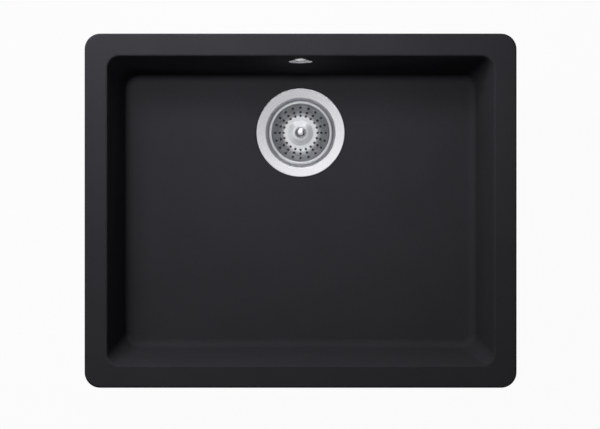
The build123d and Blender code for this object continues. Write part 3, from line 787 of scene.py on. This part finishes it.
@dataclass(frozen=True)
class PressedSteel(RingedMetal):
    """Pressed and punched sheet: light drawing lines, small scratches, and painted shade on its sloping
    wall.
    """

    rings: float = 900.0
    ring_depth: float = 0.01 * MILLIMETRE
    mark_scale: float = 80.0
    mark_cover: float = 0.15
    mark_shade: float = 0.85
    mark_roughness: float = 0.06
    scratch_scale: float = 260.0
    scratch_stretch: Triple = (1.0, 9.0, 9.0)
    scratch_turn: float = 0.6
    scratch_range: Pair = (0.62, 0.74)
    scratch_roughness: float = 0.05
    scratch_height: float = -0.06
    bump_strength: float = 0.4

    def build(self, effects: Effects) -> bpy.types.Material:
        """Wire the finish.

        Args:
            effects: The shared node groups.

        Returns:
            The material.
        """
        material, bench, shader, place = self.start()
        centred = self.centre(bench, place)
        rings = bench.group(effects.rings, Vector=centred, Rings=self.rings)
        stretched = bench.add("ShaderNodeMapping")
        bench.feed(stretched.inputs["Vector"], place)
        bench.feed(stretched.inputs["Scale"], self.scratch_stretch)
        bench.feed(stretched.inputs["Rotation"], (0.0, 0.0, self.scratch_turn))
        scratches = bench.noise(stretched.outputs[0], self.scratch_scale, detail=4.0, roughness=0.75)
        fine = bench.spread(scratches, *self.scratch_range, 0.0, 1.0)
        marks = bench.group(effects.handling, Vector=place, Scale=self.mark_scale).outputs["Mask"]
        wiped = self.wiped(bench, rings.outputs["Value"], marks)
        bench.feed(shader.inputs["Base Color"], self.with_painted_shade(bench, effects.band, centred, wiped))
        shader.inputs["Metallic"].default_value = 1.0
        rough = bench.spread(marks, 0.0, 1.0, self.roughness, self.roughness + self.mark_roughness)
        bench.feed(shader.inputs["Roughness"], bench.plus(rough, bench.times(fine, self.scratch_roughness)))
        height = bench.plus(rings.outputs["Height"], bench.times(fine, self.scratch_height))
        self.bump(bench, shader, height, self.ring_depth, self.bump_strength)
        return material


@dataclass(frozen=True)
class Moulding(Finish):
    """Moulded plastic or rubber: mould grain, faint flow shading and dust on faces that look up."""

    grain_scale: float = 1500.0
    grain_depth: float = 0.04 * MILLIMETRE
    flow: float = 0.06
    dust: float = 0.0
    parting_height: float = 0.0
    parting_width: float = 0.6 * MILLIMETRE
    grain_roughness: float = 0.05
    flow_scale: float = 38.0
    dust_facing: Pair = (0.5, 1.0)
    mark_scale: float = 30.0
    mark_polish: float = 0.08
    bump_strength: float = 0.5

    def build(self, effects: Effects) -> bpy.types.Material:
        """Wire the finish.

        Args:
            effects: The shared node groups.

        Returns:
            The material.
        """
        material, bench, shader, place = self.start()
        grain = bench.group(effects.grain, Vector=place, Scale=self.grain_scale)
        flow = bench.noise(place, self.flow_scale)
        tone = self.between(bench, flow, (1.0 - self.flow, 1.0 + self.flow))
        normal = bench.split(bench.add("ShaderNodeNewGeometry").outputs["True Normal"])
        dusty = bench.spread(normal["Z"], *self.dust_facing, 0.0, self.dust)
        settled = bench.times(dusty, grain.outputs["Value"])
        bench.feed(shader.inputs["Base Color"], bench.mix(settled, tone, DUST_COLOUR))
        marks = bench.group(effects.handling, Vector=place, Scale=self.mark_scale).outputs["Mask"]
        rough = bench.vary(grain.outputs["Value"], self.roughness, self.grain_roughness)
        polish = bench.times(marks, self.mark_polish)
        bench.feed(shader.inputs["Roughness"], bench.math("SUBTRACT", rough, polish))
        parting = bench.group(effects.parting, Vector=place, Width=self.parting_width)
        seam = bench.times(parting.outputs["Height"], self.parting_height)
        height = bench.plus(grain.outputs["Height"], seam)
        self.bump(bench, shader, height, self.grain_depth, self.bump_strength)
        return material


@dataclass
class ScrewThread:
    """A screw thread: a ridge wound about an axis."""

    name: str
    radius: float
    height: float
    pitch: float
    turns: int
    side: ThreadSide
    steps: int
    crest_share: float = 0.45
    weld_share: float = 0.002
    smooth_below: float = 50.0

    def build(self) -> bpy.types.Object:
        """Model the ridge about the Z axis, from Z = 0 upwards.

        Returns:
            The thread's object.
        """
        half = self.pitch / 2.0
        deselect_all()
        bpy.ops.mesh.primitive_circle_add(vertices=4, radius=half, rotation=(math.radians(90.0), 0.0, 0.0))
        ridge = settle(bpy.context.object)
        ridge.name = self.name
        crest = self.side.value
        bpy.ops.object.mode_set(mode="EDIT")
        pick(ridge, MeshPart.CORNERS, lambda place, normal: abs(place.x) > half / 2.0)
        bpy.ops.transform.resize(value=(self.height / half, 1.0, 1.0))
        pick(ridge, MeshPart.CORNERS, lambda place, normal: place.x * crest > self.height / 2.0)
        bpy.ops.mesh.bevel(offset=self.height * self.crest_share, segments=1, affect="VERTICES")
        bpy.ops.mesh.select_all(action="SELECT")
        bpy.ops.transform.translate(value=(self.radius, 0.0, half))
        bpy.ops.object.mode_set(mode="OBJECT")
        winding = ridge.modifiers.new("winding", "SCREW")
        winding.axis = "Z"
        winding.screw_offset = self.pitch
        winding.iterations = self.turns
        winding.steps = self.steps
        winding.render_steps = self.steps
        make_active(ridge)
        bpy.ops.object.modifier_apply(modifier=winding.name)
        bpy.ops.object.mode_set(mode="EDIT")
        bpy.ops.mesh.select_all(action="SELECT")
        bpy.ops.mesh.remove_doubles(threshold=self.pitch * self.weld_share)
        bpy.ops.mesh.select_mode(type="EDGE")
        bpy.ops.mesh.select_all(action="DESELECT")
        bpy.ops.mesh.select_non_manifold(extend=False)
        bpy.ops.mesh.merge(type="COLLAPSE")
        leave_edit_mode()
        bpy.ops.object.shade_smooth_by_angle(angle=math.radians(self.smooth_below))
        return ridge


@dataclass(frozen=True)
class SinkFinishes:
    """Every finish of the sink, built once."""

    stone: bpy.types.Material
    cup_steel: bpy.types.Material
    basket_steel: bpy.types.Material
    knob_steel: bpy.types.Material
    chrome: bpy.types.Material
    fastener: bpy.types.Material
    brass: bpy.types.Material
    rubber: bpy.types.Material
    foot_plastic: bpy.types.Material
    white_plastic: bpy.types.Material
    pipe_plastic: bpy.types.Material
    nut_plastic: bpy.types.Material


def build_finishes(effects: Effects, drain: AxisPlace, overflow: AxisPlace) -> SinkFinishes:
    """Build each finish of the sink.

    Args:
        effects: The shared node groups.
        drain: The waste's axis.
        overflow: The overflow's axis.

    Returns:
        The finishes.
    """
    # Painted shade: the colour of the cup's steep throat and of the basket's sloping wall is darkened.
    throat_shade = PaintedShadeBand(0.0386, 0.0405, 0.0448, 0.0455, shade=0.76)
    sloping_wall_shade = PaintedShadeBand(0.0216, 0.0262, 0.0373, 0.0377, shade=0.49)
    polished = (1500.0, 0.004 * MILLIMETRE)
    machined = (1800.0, 0.02 * MILLIMETRE)
    looks: dict[str, StoneComposite | TurnedMetal | PressedSteel | Moulding] = {
        "stone": StoneComposite("stone_composite", (0.0315, 0.031, 0.0355), 0.62),
        # The cup steel carries painted shade below the basket, deep in the cup.
        "cup_steel": TurnedMetal(
            "satin_steel", (0.79, 0.79, 0.82), 0.28, drain, band=throat_shade, deep_below=-0.2025, deep_share=0.93
        ),
        "basket_steel": PressedSteel("basket_steel", (0.765, 0.775, 0.805), 0.33, drain, band=sloping_wall_shade),
        "knob_steel": TurnedMetal("polished_steel", (0.84, 0.845, 0.88), 0.25, drain, *polished),
        "chrome": TurnedMetal("rosette_chrome", (0.84, 0.85, 0.87), 0.12, overflow, *polished),
        "fastener": TurnedMetal("fastener_steel", (0.6, 0.6, 0.6), 0.36, drain, *machined),
        "brass": TurnedMetal("brass_insert", (0.72, 0.53, 0.26), 0.38, drain, *machined),
        "rubber": Moulding(
            "black_rubber", (0.022, 0.022, 0.023), 0.72, 900.0, 0.05 * MILLIMETRE, flow=0.1, dust=0.12
        ),
        "foot_plastic": Moulding("foot_plastic", (0.1, 0.1, 0.105), 0.45),
        "white_plastic": Moulding(
            "white_plastic",
            (0.74, 0.735, 0.71),
            0.42,
            1300.0,
            0.03 * MILLIMETRE,
            flow=0.03,
            dust=0.2,
            parting_height=3.0,
        ),
        "pipe_plastic": Moulding(
            "pipe_plastic", (0.73, 0.725, 0.7), 0.36, 1800.0, 0.01 * MILLIMETRE, flow=0.02, dust=0.2
        ),
        "nut_plastic": Moulding(
            "grey_nut_plastic", (0.16, 0.16, 0.17), 0.5, 1300.0, 0.04 * MILLIMETRE, flow=0.05, dust=0.15
        ),
    }
    return SinkFinishes(**{name: look.build(effects) for name, look in looks.items()})


@dataclass
class BowlCasting:
    """The cast stone bowl and the threaded brass inserts under its rim."""

    finishes: SinkFinishes
    insert_bore: float = 2.1 * MILLIMETRE
    insert_bottom: float = -12.0 * MILLIMETRE
    insert_length: float = 8.0 * MILLIMETRE
    thread_pitch: float = 0.8 * MILLIMETRE
    thread_height: float = 0.3 * MILLIMETRE
    thread_steps: int = 20
    clear_turns: int = 2
    side_row: Pair = (268.0 * MILLIMETRE, 130.0 * MILLIMETRE)
    long_row: Pair = (200.0 * MILLIMETRE, 218.0 * MILLIMETRE)

    def build(self) -> None:
        """Dress the casting and thread its inserts."""
        dress(self.finishes.stone, "bowl")
        dress(self.finishes.brass, "rim_inserts")
        self.thread_inserts()

    def thread_inserts(self) -> None:
        """Model one inside thread and set a copy in every insert."""
        turns = int(self.insert_length / self.thread_pitch) - self.clear_turns
        master = ScrewThread(
            "insert_thread_1",
            self.insert_bore,
            self.thread_height,
            self.thread_pitch,
            turns,
            ThreadSide.INSIDE,
            self.thread_steps,
        ).build()
        signs = [(i, j) for i in (-1, 1) for j in (-1, 1)]
        spots = [(x * i, y * j) for x, y in (self.side_row, self.long_row) for i, j in signs]
        threads = [master]
        for number in range(2, len(spots) + 1):
            copy = master.copy()
            copy.data = master.data.copy()
            copy.name = f"insert_thread_{number}"
            bpy.context.scene.collection.objects.link(copy)
            threads.append(copy)
        for thread, (x, y) in zip(threads, spots):
            thread.location = (x, y, self.insert_bottom + self.thread_pitch / 2.0)
            hand_over(settle(thread), self.finishes.brass, "sink")


@dataclass
class DrainFitting:
    """The pressed drain cup, its gaskets, the valve body under the bowl and their screw."""

    finishes: SinkFinishes
    drain_y: float
    thread_radius: float = 23.85 * MILLIMETRE
    thread_height: float = 0.5 * MILLIMETRE
    thread_pitch: float = 2.309 * MILLIMETRE
    thread_bottom: float = -288.4 * MILLIMETRE
    thread_turns: int = 7
    thread_steps: int = 96

    def build(self) -> None:
        """Dress the fitting and thread its outlet."""
        dress(self.finishes.cup_steel, "drain_cup")
        dress(self.finishes.rubber, "flange_gasket", "body_gasket")
        dress(self.finishes.white_plastic, "valve_body")
        dress(self.finishes.fastener, "clamp_screw")
        dress(self.finishes.brass, "clamp_nut")
        self.thread_outlet()

    def thread_outlet(self) -> None:
        """Wind the trap's thread round the outlet."""
        thread = ScrewThread(
            "outlet_thread",
            self.thread_radius,
            self.thread_height,
            self.thread_pitch,
            self.thread_turns,
            ThreadSide.OUTSIDE,
            self.thread_steps,
        ).build()
        thread.location = (0.0, self.drain_y, self.thread_bottom)
        hand_over(settle(thread), self.finishes.white_plastic, "sink")


@dataclass
class Strainer:
    """The lift-out perforated basket, its knob and the clip-on stopper foot."""

    finishes: SinkFinishes

    def build(self) -> None:
        """Dress the basket, its knob and fixings, and the foot with its seal."""
        dress(self.finishes.basket_steel, "strainer_basket")
        dress(self.finishes.knob_steel, "strainer_knob")
        dress(self.finishes.fastener, "stem_nut", "stem_clip")
        dress(self.finishes.foot_plastic, "stopper_foot")
        dress(self.finishes.rubber, "stopper_seal")


@dataclass
class OverflowRun:
    """The overflow's chromed cover and screw, its head, pipe, elbow and joints."""

    finishes: SinkFinishes
    wall_point: Triple
    wall_tilt: float
    cover_sides: int = 96
    cover_radius: float = 15.5 * MILLIMETRE
    cover_thickness: float = 2.6 * MILLIMETRE
    slots: int = 4
    slot_outer: float = 12.8 * MILLIMETRE
    slot_inner: float = 8.4 * MILLIMETRE
    slot_half_angle: float = 22.5
    seat_radius: float = 4.8 * MILLIMETRE
    bore_radius: float = 2.75 * MILLIMETRE
    seat_depth: float = 1.2 * MILLIMETRE
    cover_rounding: float = 0.3 * MILLIMETRE
    cover_sharp: float = 40.0
    screw_sides: int = 48
    head_radius: float = 4.6 * MILLIMETRE
    shank_radius: float = 2.4 * MILLIMETRE
    shank_length: float = 20.0 * MILLIMETRE
    driver_half_length: float = 3.4 * MILLIMETRE
    driver_half_width: float = 0.5 * MILLIMETRE
    driver_depth: float = 0.8 * MILLIMETRE
    screw_rounding: float = 0.1 * MILLIMETRE
    screw_sharp: float = 50.0

    def build(self) -> None:
        """Model the cover and its screw, and dress the rest of the run."""
        cover = self.place_on_wall(self.model_cover())
        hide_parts("overflow_rosette")
        hand_over(cover, self.finishes.chrome, "sink")
        screw = self.place_on_wall(self.model_screw())
        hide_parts("overflow_screw")
        hand_over(screw, self.finishes.chrome, "sink")
        dress(self.finishes.white_plastic, "overflow_head", "overflow_elbow")
        dress(self.finishes.pipe_plastic, "overflow_pipe")
        dress(self.finishes.brass, "head_insert")
        dress(self.finishes.rubber, "overflow_gasket", "upper_cone_seal", "lower_cone_seal", "port_seal")
        dress(self.finishes.nut_plastic, "upper_pipe_nut", "lower_pipe_nut", "port_nut")

    def place_on_wall(self, piece: bpy.types.Object) -> bpy.types.Object:
        """Stand a piece modelled about Z on the bowl's rear wall.

        Args:
            piece: The modelled object.

        Returns:
            The settled object.
        """
        piece.location = self.wall_point
        piece.rotation_euler = (self.wall_tilt, 0.0, 0.0)
        return settle(piece)

    def model_cover(self) -> bpy.types.Object:
        """Model the slotted cover with its countersunk middle.

        Returns:
            The cover, standing on Z = 0.
        """
        deselect_all()
        bpy.ops.mesh.primitive_cylinder_add(
            vertices=self.cover_sides,
            radius=self.cover_radius,
            depth=self.cover_thickness,
            location=(0.0, 0.0, self.cover_thickness / 2.0),
        )
        cover = settle(bpy.context.object)
        cover.name = "rosette_cover"
        bpy.ops.object.mode_set(mode="EDIT")
        pick(cover, MeshPart.FACES, lambda place, normal: abs(normal.z) > FLAT)
        radius = self.cover_radius
        for ring in (self.slot_outer, self.slot_inner, self.seat_radius, self.bore_radius):
            bpy.ops.mesh.inset(thickness=radius - ring, depth=0.0, use_even_offset=False)
            radius = ring
        bpy.ops.mesh.bridge_edge_loops()
        top = self.cover_thickness * 0.99
        rim = self.bore_radius * 1.1
        pick(cover, MeshPart.CORNERS, lambda place, normal: place.z > top and place.xy.length < rim)
        bpy.ops.transform.translate(value=(0.0, 0.0, -self.seat_depth))
        for slot in range(self.slots):
            self.open_slot(cover, math.radians((slot + 0.5) * 360.0 / self.slots))
        leave_edit_mode()
        apply_bevel(cover, self.cover_rounding, self.cover_sharp)
        return cover

    def open_slot(self, cover: bpy.types.Object, middle: float) -> None:
        """Bridge the cover's two faces into one curved slot.

        Args:
            cover: The cover in edit mode.
            middle: The slot's middle angle in radians.
        """
        reach = math.radians(self.slot_half_angle)

        def in_slot(place: Vector, normal: Vector) -> bool:
            """Test whether a flat face lies in the slot's outline.

            Args:
                place: The face's middle.
                normal: Its normal.

            Returns:
                Whether it does.
            """
            turn = (math.atan2(place.y, place.x) - middle + math.pi) % (2.0 * math.pi) - math.pi
            across = self.slot_inner < place.xy.length < self.slot_outer
            return abs(normal.z) > FLAT and across and abs(turn) < reach

        pick(cover, MeshPart.FACES, in_slot)
        bpy.ops.mesh.bridge_edge_loops()

    def model_screw(self) -> bpy.types.Object:
        """Model the countersunk screw with its driver slot and shank.

        Returns:
            The screw, its head flush with the cover's face.
        """
        deselect_all()
        bpy.ops.mesh.primitive_cone_add(
            vertices=self.screw_sides,
            radius1=self.shank_radius,
            radius2=self.head_radius,
            depth=self.seat_depth,
            location=(0.0, 0.0, self.cover_thickness - self.seat_depth / 2.0),
        )
        screw = settle(bpy.context.object)
        screw.name = "rosette_screw"
        bpy.ops.object.mode_set(mode="EDIT")
        pick(screw, MeshPart.FACES, lambda place, normal: normal.z < -FLAT)
        bpy.ops.mesh.extrude_region_move(TRANSFORM_OT_translate={"value": (0.0, 0.0, -self.shank_length)})
        long_way, short_way = (1.0, 0.0, 0.0), (0.0, 1.0, 0.0)
        for side, reach in ((long_way, self.driver_half_length), (short_way, self.driver_half_width)):
            for sign in (-1.0, 1.0):
                pick(screw, MeshPart.FACES, lambda place, normal: normal.z > FLAT)
                x, y, _ = (part * reach * sign for part in side)
                bpy.ops.mesh.bisect(plane_co=(x, y, self.cover_thickness), plane_no=side)
        middle = self.driver_half_width
        pick(screw, MeshPart.FACES, lambda place, normal: normal.z > FLAT and place.xy.length < middle)
        bpy.ops.mesh.extrude_region_move(TRANSFORM_OT_translate={"value": (0.0, 0.0, -self.driver_depth)})
        leave_edit_mode()
        apply_bevel(screw, self.screw_rounding, self.screw_sharp)
        return screw


@dataclass
class Studio:
    """Pale floor, plain soft light and the straight-down camera."""

    millimetres_wide: float = 772.2
    camera_height: float = 16.0
    aim_x: float = -0.00075
    aim_y: float = -0.0049
    sensor: float = 36.0
    floor_size: float = 24.0
    floor_cells: int = 8
    floor_height: float = -0.2905
    floor_tones: Pair = (0.44, 0.46)
    floor_grain: float = 40.0
    floor_roughness: float = 0.8
    floor_specular: float = 0.1
    floor_white: float = 1.0
    floor_share: float = 0.955
    bright_side: Triple = (-0.64, 0.77, 0.0)
    overhead_levels: Ramp = (-0.14, 0.14, 0.58, 1.08)
    horizon_levels: Ramp = (0.3, 0.8, 0.13, 0.6)
    overhead_edge: Ramp = (0.56, 0.68, 0.0, 1.0)
    pool_softness: float = 0.15

    def place_camera(self) -> None:
        """Hang the camera over the rim with a very long lens."""
        data = bpy.data.cameras.new("overhead_camera")
        data.sensor_width = self.sensor
        data.lens = self.sensor * self.camera_height / (self.millimetres_wide * MILLIMETRE)
        data.clip_end = 4.0 * self.camera_height
        camera = bpy.data.objects.new("overhead_camera", data)
        camera.location = (self.aim_x, self.aim_y, self.camera_height)
        bpy.context.scene.collection.objects.link(camera)
        bpy.context.scene.camera = camera

    def lay_floor(self) -> None:
        """Lay the pale floor at the outlet's lowest point, see-through from below."""
        deselect_all()
        bpy.ops.mesh.primitive_grid_add(
            x_subdivisions=self.floor_cells,
            y_subdivisions=self.floor_cells,
            size=self.floor_size,
            location=(0.0, 0.0, self.floor_height),
        )
        floor = settle(bpy.context.object)
        floor.name = "studio_floor"
        material = bpy.data.materials.new("pale_floor")
        material.use_nodes = True
        bench = NodeBench(material.node_tree)
        shader = material.node_tree.nodes["Principled BSDF"]
        output = material.node_tree.nodes["Material Output"]
        grain = bench.noise(bench.add("ShaderNodeTexCoord").outputs["Object"], self.floor_grain)
        dark, light = ((tone, tone, tone, 1.0) for tone in self.floor_tones)
        bench.feed(shader.inputs["Base Color"], bench.mix(grain, dark, light))
        shader.inputs["Roughness"].default_value = self.floor_roughness
        shader.inputs["Specular IOR Level"].default_value = self.floor_specular
        glow = bench.add("ShaderNodeEmission")
        glow.inputs["Strength"].default_value = self.floor_white
        rays = bench.add("ShaderNodeLightPath")
        seen = bench.math("MAXIMUM", rays.outputs["Is Camera Ray"], rays.outputs["Is Glossy Ray"])
        seen = bench.math("MAXIMUM", seen, rays.outputs["Is Transmission Ray"])
        top = bench.mix_shaders(bench.times(seen, self.floor_share), shader.outputs[0], glow.outputs[0])
        below = bench.add("ShaderNodeNewGeometry").outputs["Backfacing"]
        clear = bench.add("ShaderNodeBsdfTransparent").outputs[0]
        bench.feed(output.inputs["Surface"], bench.mix_shaders(below, top, clear))
        floor.data.materials.append(material)
        floor.visible_shadow = False

    def light_world(self) -> None:
        """Light the surroundings: white to the eye, dark to matt surfaces, a soft box to gloss."""
        world = bpy.data.worlds.new("studio_world")
        world.use_nodes = True
        bpy.context.scene.world = world
        bench = NodeBench(world.node_tree)
        sky = world.node_tree.nodes["Background"]
        sky.inputs["Color"].default_value = (1.0, 1.0, 1.0, 1.0)
        rays = bench.add("ShaderNodeLightPath")
        glossy = bench.math("MAXIMUM", rays.outputs["Is Glossy Ray"], rays.outputs["Is Transmission Ray"])
        level = bench.blend(glossy, rays.outputs["Is Camera Ray"], self.softbox_level(bench))
        bench.feed(sky.inputs["Strength"], level)

    def softbox_level(self, bench: NodeBench) -> Socket:
        """Shape the soft box overhead: brighter to the rear left, dim near the horizon.

        Args:
            bench: The world's bench.

        Returns:
            The level in each direction.
        """
        direction = bench.add("ShaderNodeTexCoord").outputs["Generated"]
        parts = bench.split(direction)
        sideways = bench.add("ShaderNodeVectorMath", operation="DOT_PRODUCT")
        bench.feed(sideways.inputs[0], direction)
        bench.feed(sideways.inputs[1], self.bright_side)
        overhead = bench.spread(sideways.outputs["Value"], *self.overhead_levels)
        horizon = bench.spread(parts["Y"], *self.horizon_levels)
        return bench.blend(bench.spread(parts["Z"], *self.overhead_edge), horizon, overhead)

    def hang_lamps(self) -> None:
        """Hang the rear left lamps, the even light, the fill and the drain's pool, not seen in gloss."""
        middle = (0.0, 0.0, -0.1)
        behind_drain = (0.03, 0.16, -0.2)
        high = self.add_area("rear_left_high", (-0.45, 0.6, 1.2), middle, size=0.3, power=10.5)
        low = self.add_area("rear_left_low", (-0.35, 0.55, 0.35), middle, size=0.2, power=3.1)
        low.data.use_shadow = False
        even = self.add_sun("rear_even", (0.0, 0.8, 0.3), strength=0.33, spread=20.0)
        fill = self.add_sun("front_fill", (0.4, -0.75, 0.25), strength=0.14, spread=10.0, shadows=True)
        pool = self.add_pool("rear_pool", (0.03, 0.56, 3.0), behind_drain, cone=11.8, power=100.0)
        for lamp in (high, low, even, fill, pool):
            lamp.visible_glossy = False

    def open_windows(self) -> None:
        """Open three windows that light gloss alone, by turn and tilt in degrees, and the knob's own."""
        for name, turn, tilt, strength, spread in (
            ("rear_window", 0.0, 46.0, 0.48, 50.0),
            ("left_window", -34.0, 38.0, 0.16, 30.0),
            ("right_window", 34.0, 38.0, 0.16, 30.0),
        ):
            aside, lean = math.radians(turn), math.radians(tilt)
            towards = (math.sin(lean) * math.sin(aside), math.sin(lean) * math.cos(aside), math.cos(lean))
            self.add_sun(name, towards, strength, spread).visible_diffuse = False
        knob_window = self.add_sun("knob_window", (0.0, 0.88, 0.48), strength=3.2, spread=80.0)
        knob_window.visible_diffuse = False
        knob_only = bpy.data.collections.new("knob_window_receivers")
        knob_only.objects.link(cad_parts["strainer_knob"])
        knob_window.light_linking.receiver_collection = knob_only

    def light_sides(self) -> None:
        """Light each side weakly from below, as pale boards on the floor would."""
        for name, across, strength in (
            ("front_board", (0.0, -1.0), 1.5),
            ("right_board", (1.0, 0.0), 1.1),
            ("left_board", (-1.0, 0.0), 0.7),
            ("rear_board", (0.0, 1.0), 0.4),
        ):
            board = self.add_sun(name, (*across, -1.0), strength, spread=40.0, shadows=True)
            board.visible_glossy = False

    def aim(self, data: bpy.types.Light, place: Triple, target: Triple) -> bpy.types.Object:
        """Hang a lamp and turn it to a point.

        Args:
            data: The lamp's light, whose name it takes.
            place: Where it hangs.
            target: The point it faces.

        Returns:
            The lamp.
        """
        lamp = bpy.data.objects.new(data.name, data)
        lamp.location = place
        lamp.rotation_euler = (Vector(target) - Vector(place)).to_track_quat("-Z", "Y").to_euler()
        bpy.context.scene.collection.objects.link(lamp)
        return lamp

    def add_area(
        self, name: str, place: Triple, target: Triple, size: float, power: float
    ) -> bpy.types.Object:
        """Hang a square soft lamp.

        Args:
            name: The lamp's name.
            place: Where it hangs.
            target: The point it faces.
            size: Its side in metres.
            power: Its power in watts.

        Returns:
            The lamp.
        """
        data = bpy.data.lights.new(name, "AREA")
        data.size = size
        data.energy = power
        return self.aim(data, place, target)

    def add_pool(
        self, name: str, place: Triple, target: Triple, cone: float, power: float
    ) -> bpy.types.Object:
        """Hang a spot whose light fades out from its middle to its edge.

        Args:
            name: The lamp's name.
            place: Where it hangs.
            target: The point it faces.
            cone: Its full angle in degrees.
            power: Its power in watts.

        Returns:
            The lamp.
        """
        data = bpy.data.lights.new(name, "SPOT")
        data.energy = power
        data.spot_size = math.radians(cone)
        data.spot_blend = 1.0
        data.shadow_soft_size = self.pool_softness
        return self.aim(data, place, target)

    def add_sun(
        self, name: str, towards: Triple, strength: float, spread: float, shadows: bool = False
    ) -> bpy.types.Object:
        """Add a light that is even all over.

        Args:
            name: The lamp's name.
            towards: Direction from the object to the light.
            strength: Its irradiance.
            spread: Its angle in degrees.
            shadows: Whether it casts shadows.

        Returns:
            The lamp.
        """
        data = bpy.data.lights.new(name, "SUN")
        data.energy = strength
        data.angle = math.radians(spread)
        data.use_shadow = shadows
        data.cycles.use_multiple_importance_sampling = False
        lamp = bpy.data.objects.new(name, data)
        lamp.rotation_euler = Vector(towards).to_track_quat("Z", "Y").to_euler()
        bpy.context.scene.collection.objects.link(lamp)
        return lamp

    def build(self) -> None:
        """Set up the whole studio."""
        bpy.context.scene.view_settings.view_transform = "Standard"
        self.place_camera()
        self.lay_floor()
        self.light_world()
        self.hang_lamps()
        self.open_windows()
        self.light_sides()
        log.info("studio ready")


def main() -> None:
    """Build the studio, the finishes and the sub-assemblies in order."""
    Studio().build()
    effects = Effects(
        grain=build_grain_group(),
        rings=build_rings_group(),
        flecks=build_flecks_group(),
        handling=build_handling_group(),
        band=build_band_group(),
        parting=build_parting_group(),
    )
    wall_tilt = math.radians(90.0 - WALL_DRAFT)
    drain = AxisPlace(DRAIN_POINT, 0.0)
    finishes = build_finishes(effects, drain, AxisPlace(WALL_POINT, wall_tilt))
    assemblies = (
        BowlCasting(finishes),
        DrainFitting(finishes, DRAIN_POINT[1]),
        Strainer(finishes),
        OverflowRun(finishes, WALL_POINT, wall_tilt),
    )
    for assembly in assemblies:
        assembly.build()
        log.info("%s done", type(assembly).__name__)


if __name__ == "__main__":
    main()
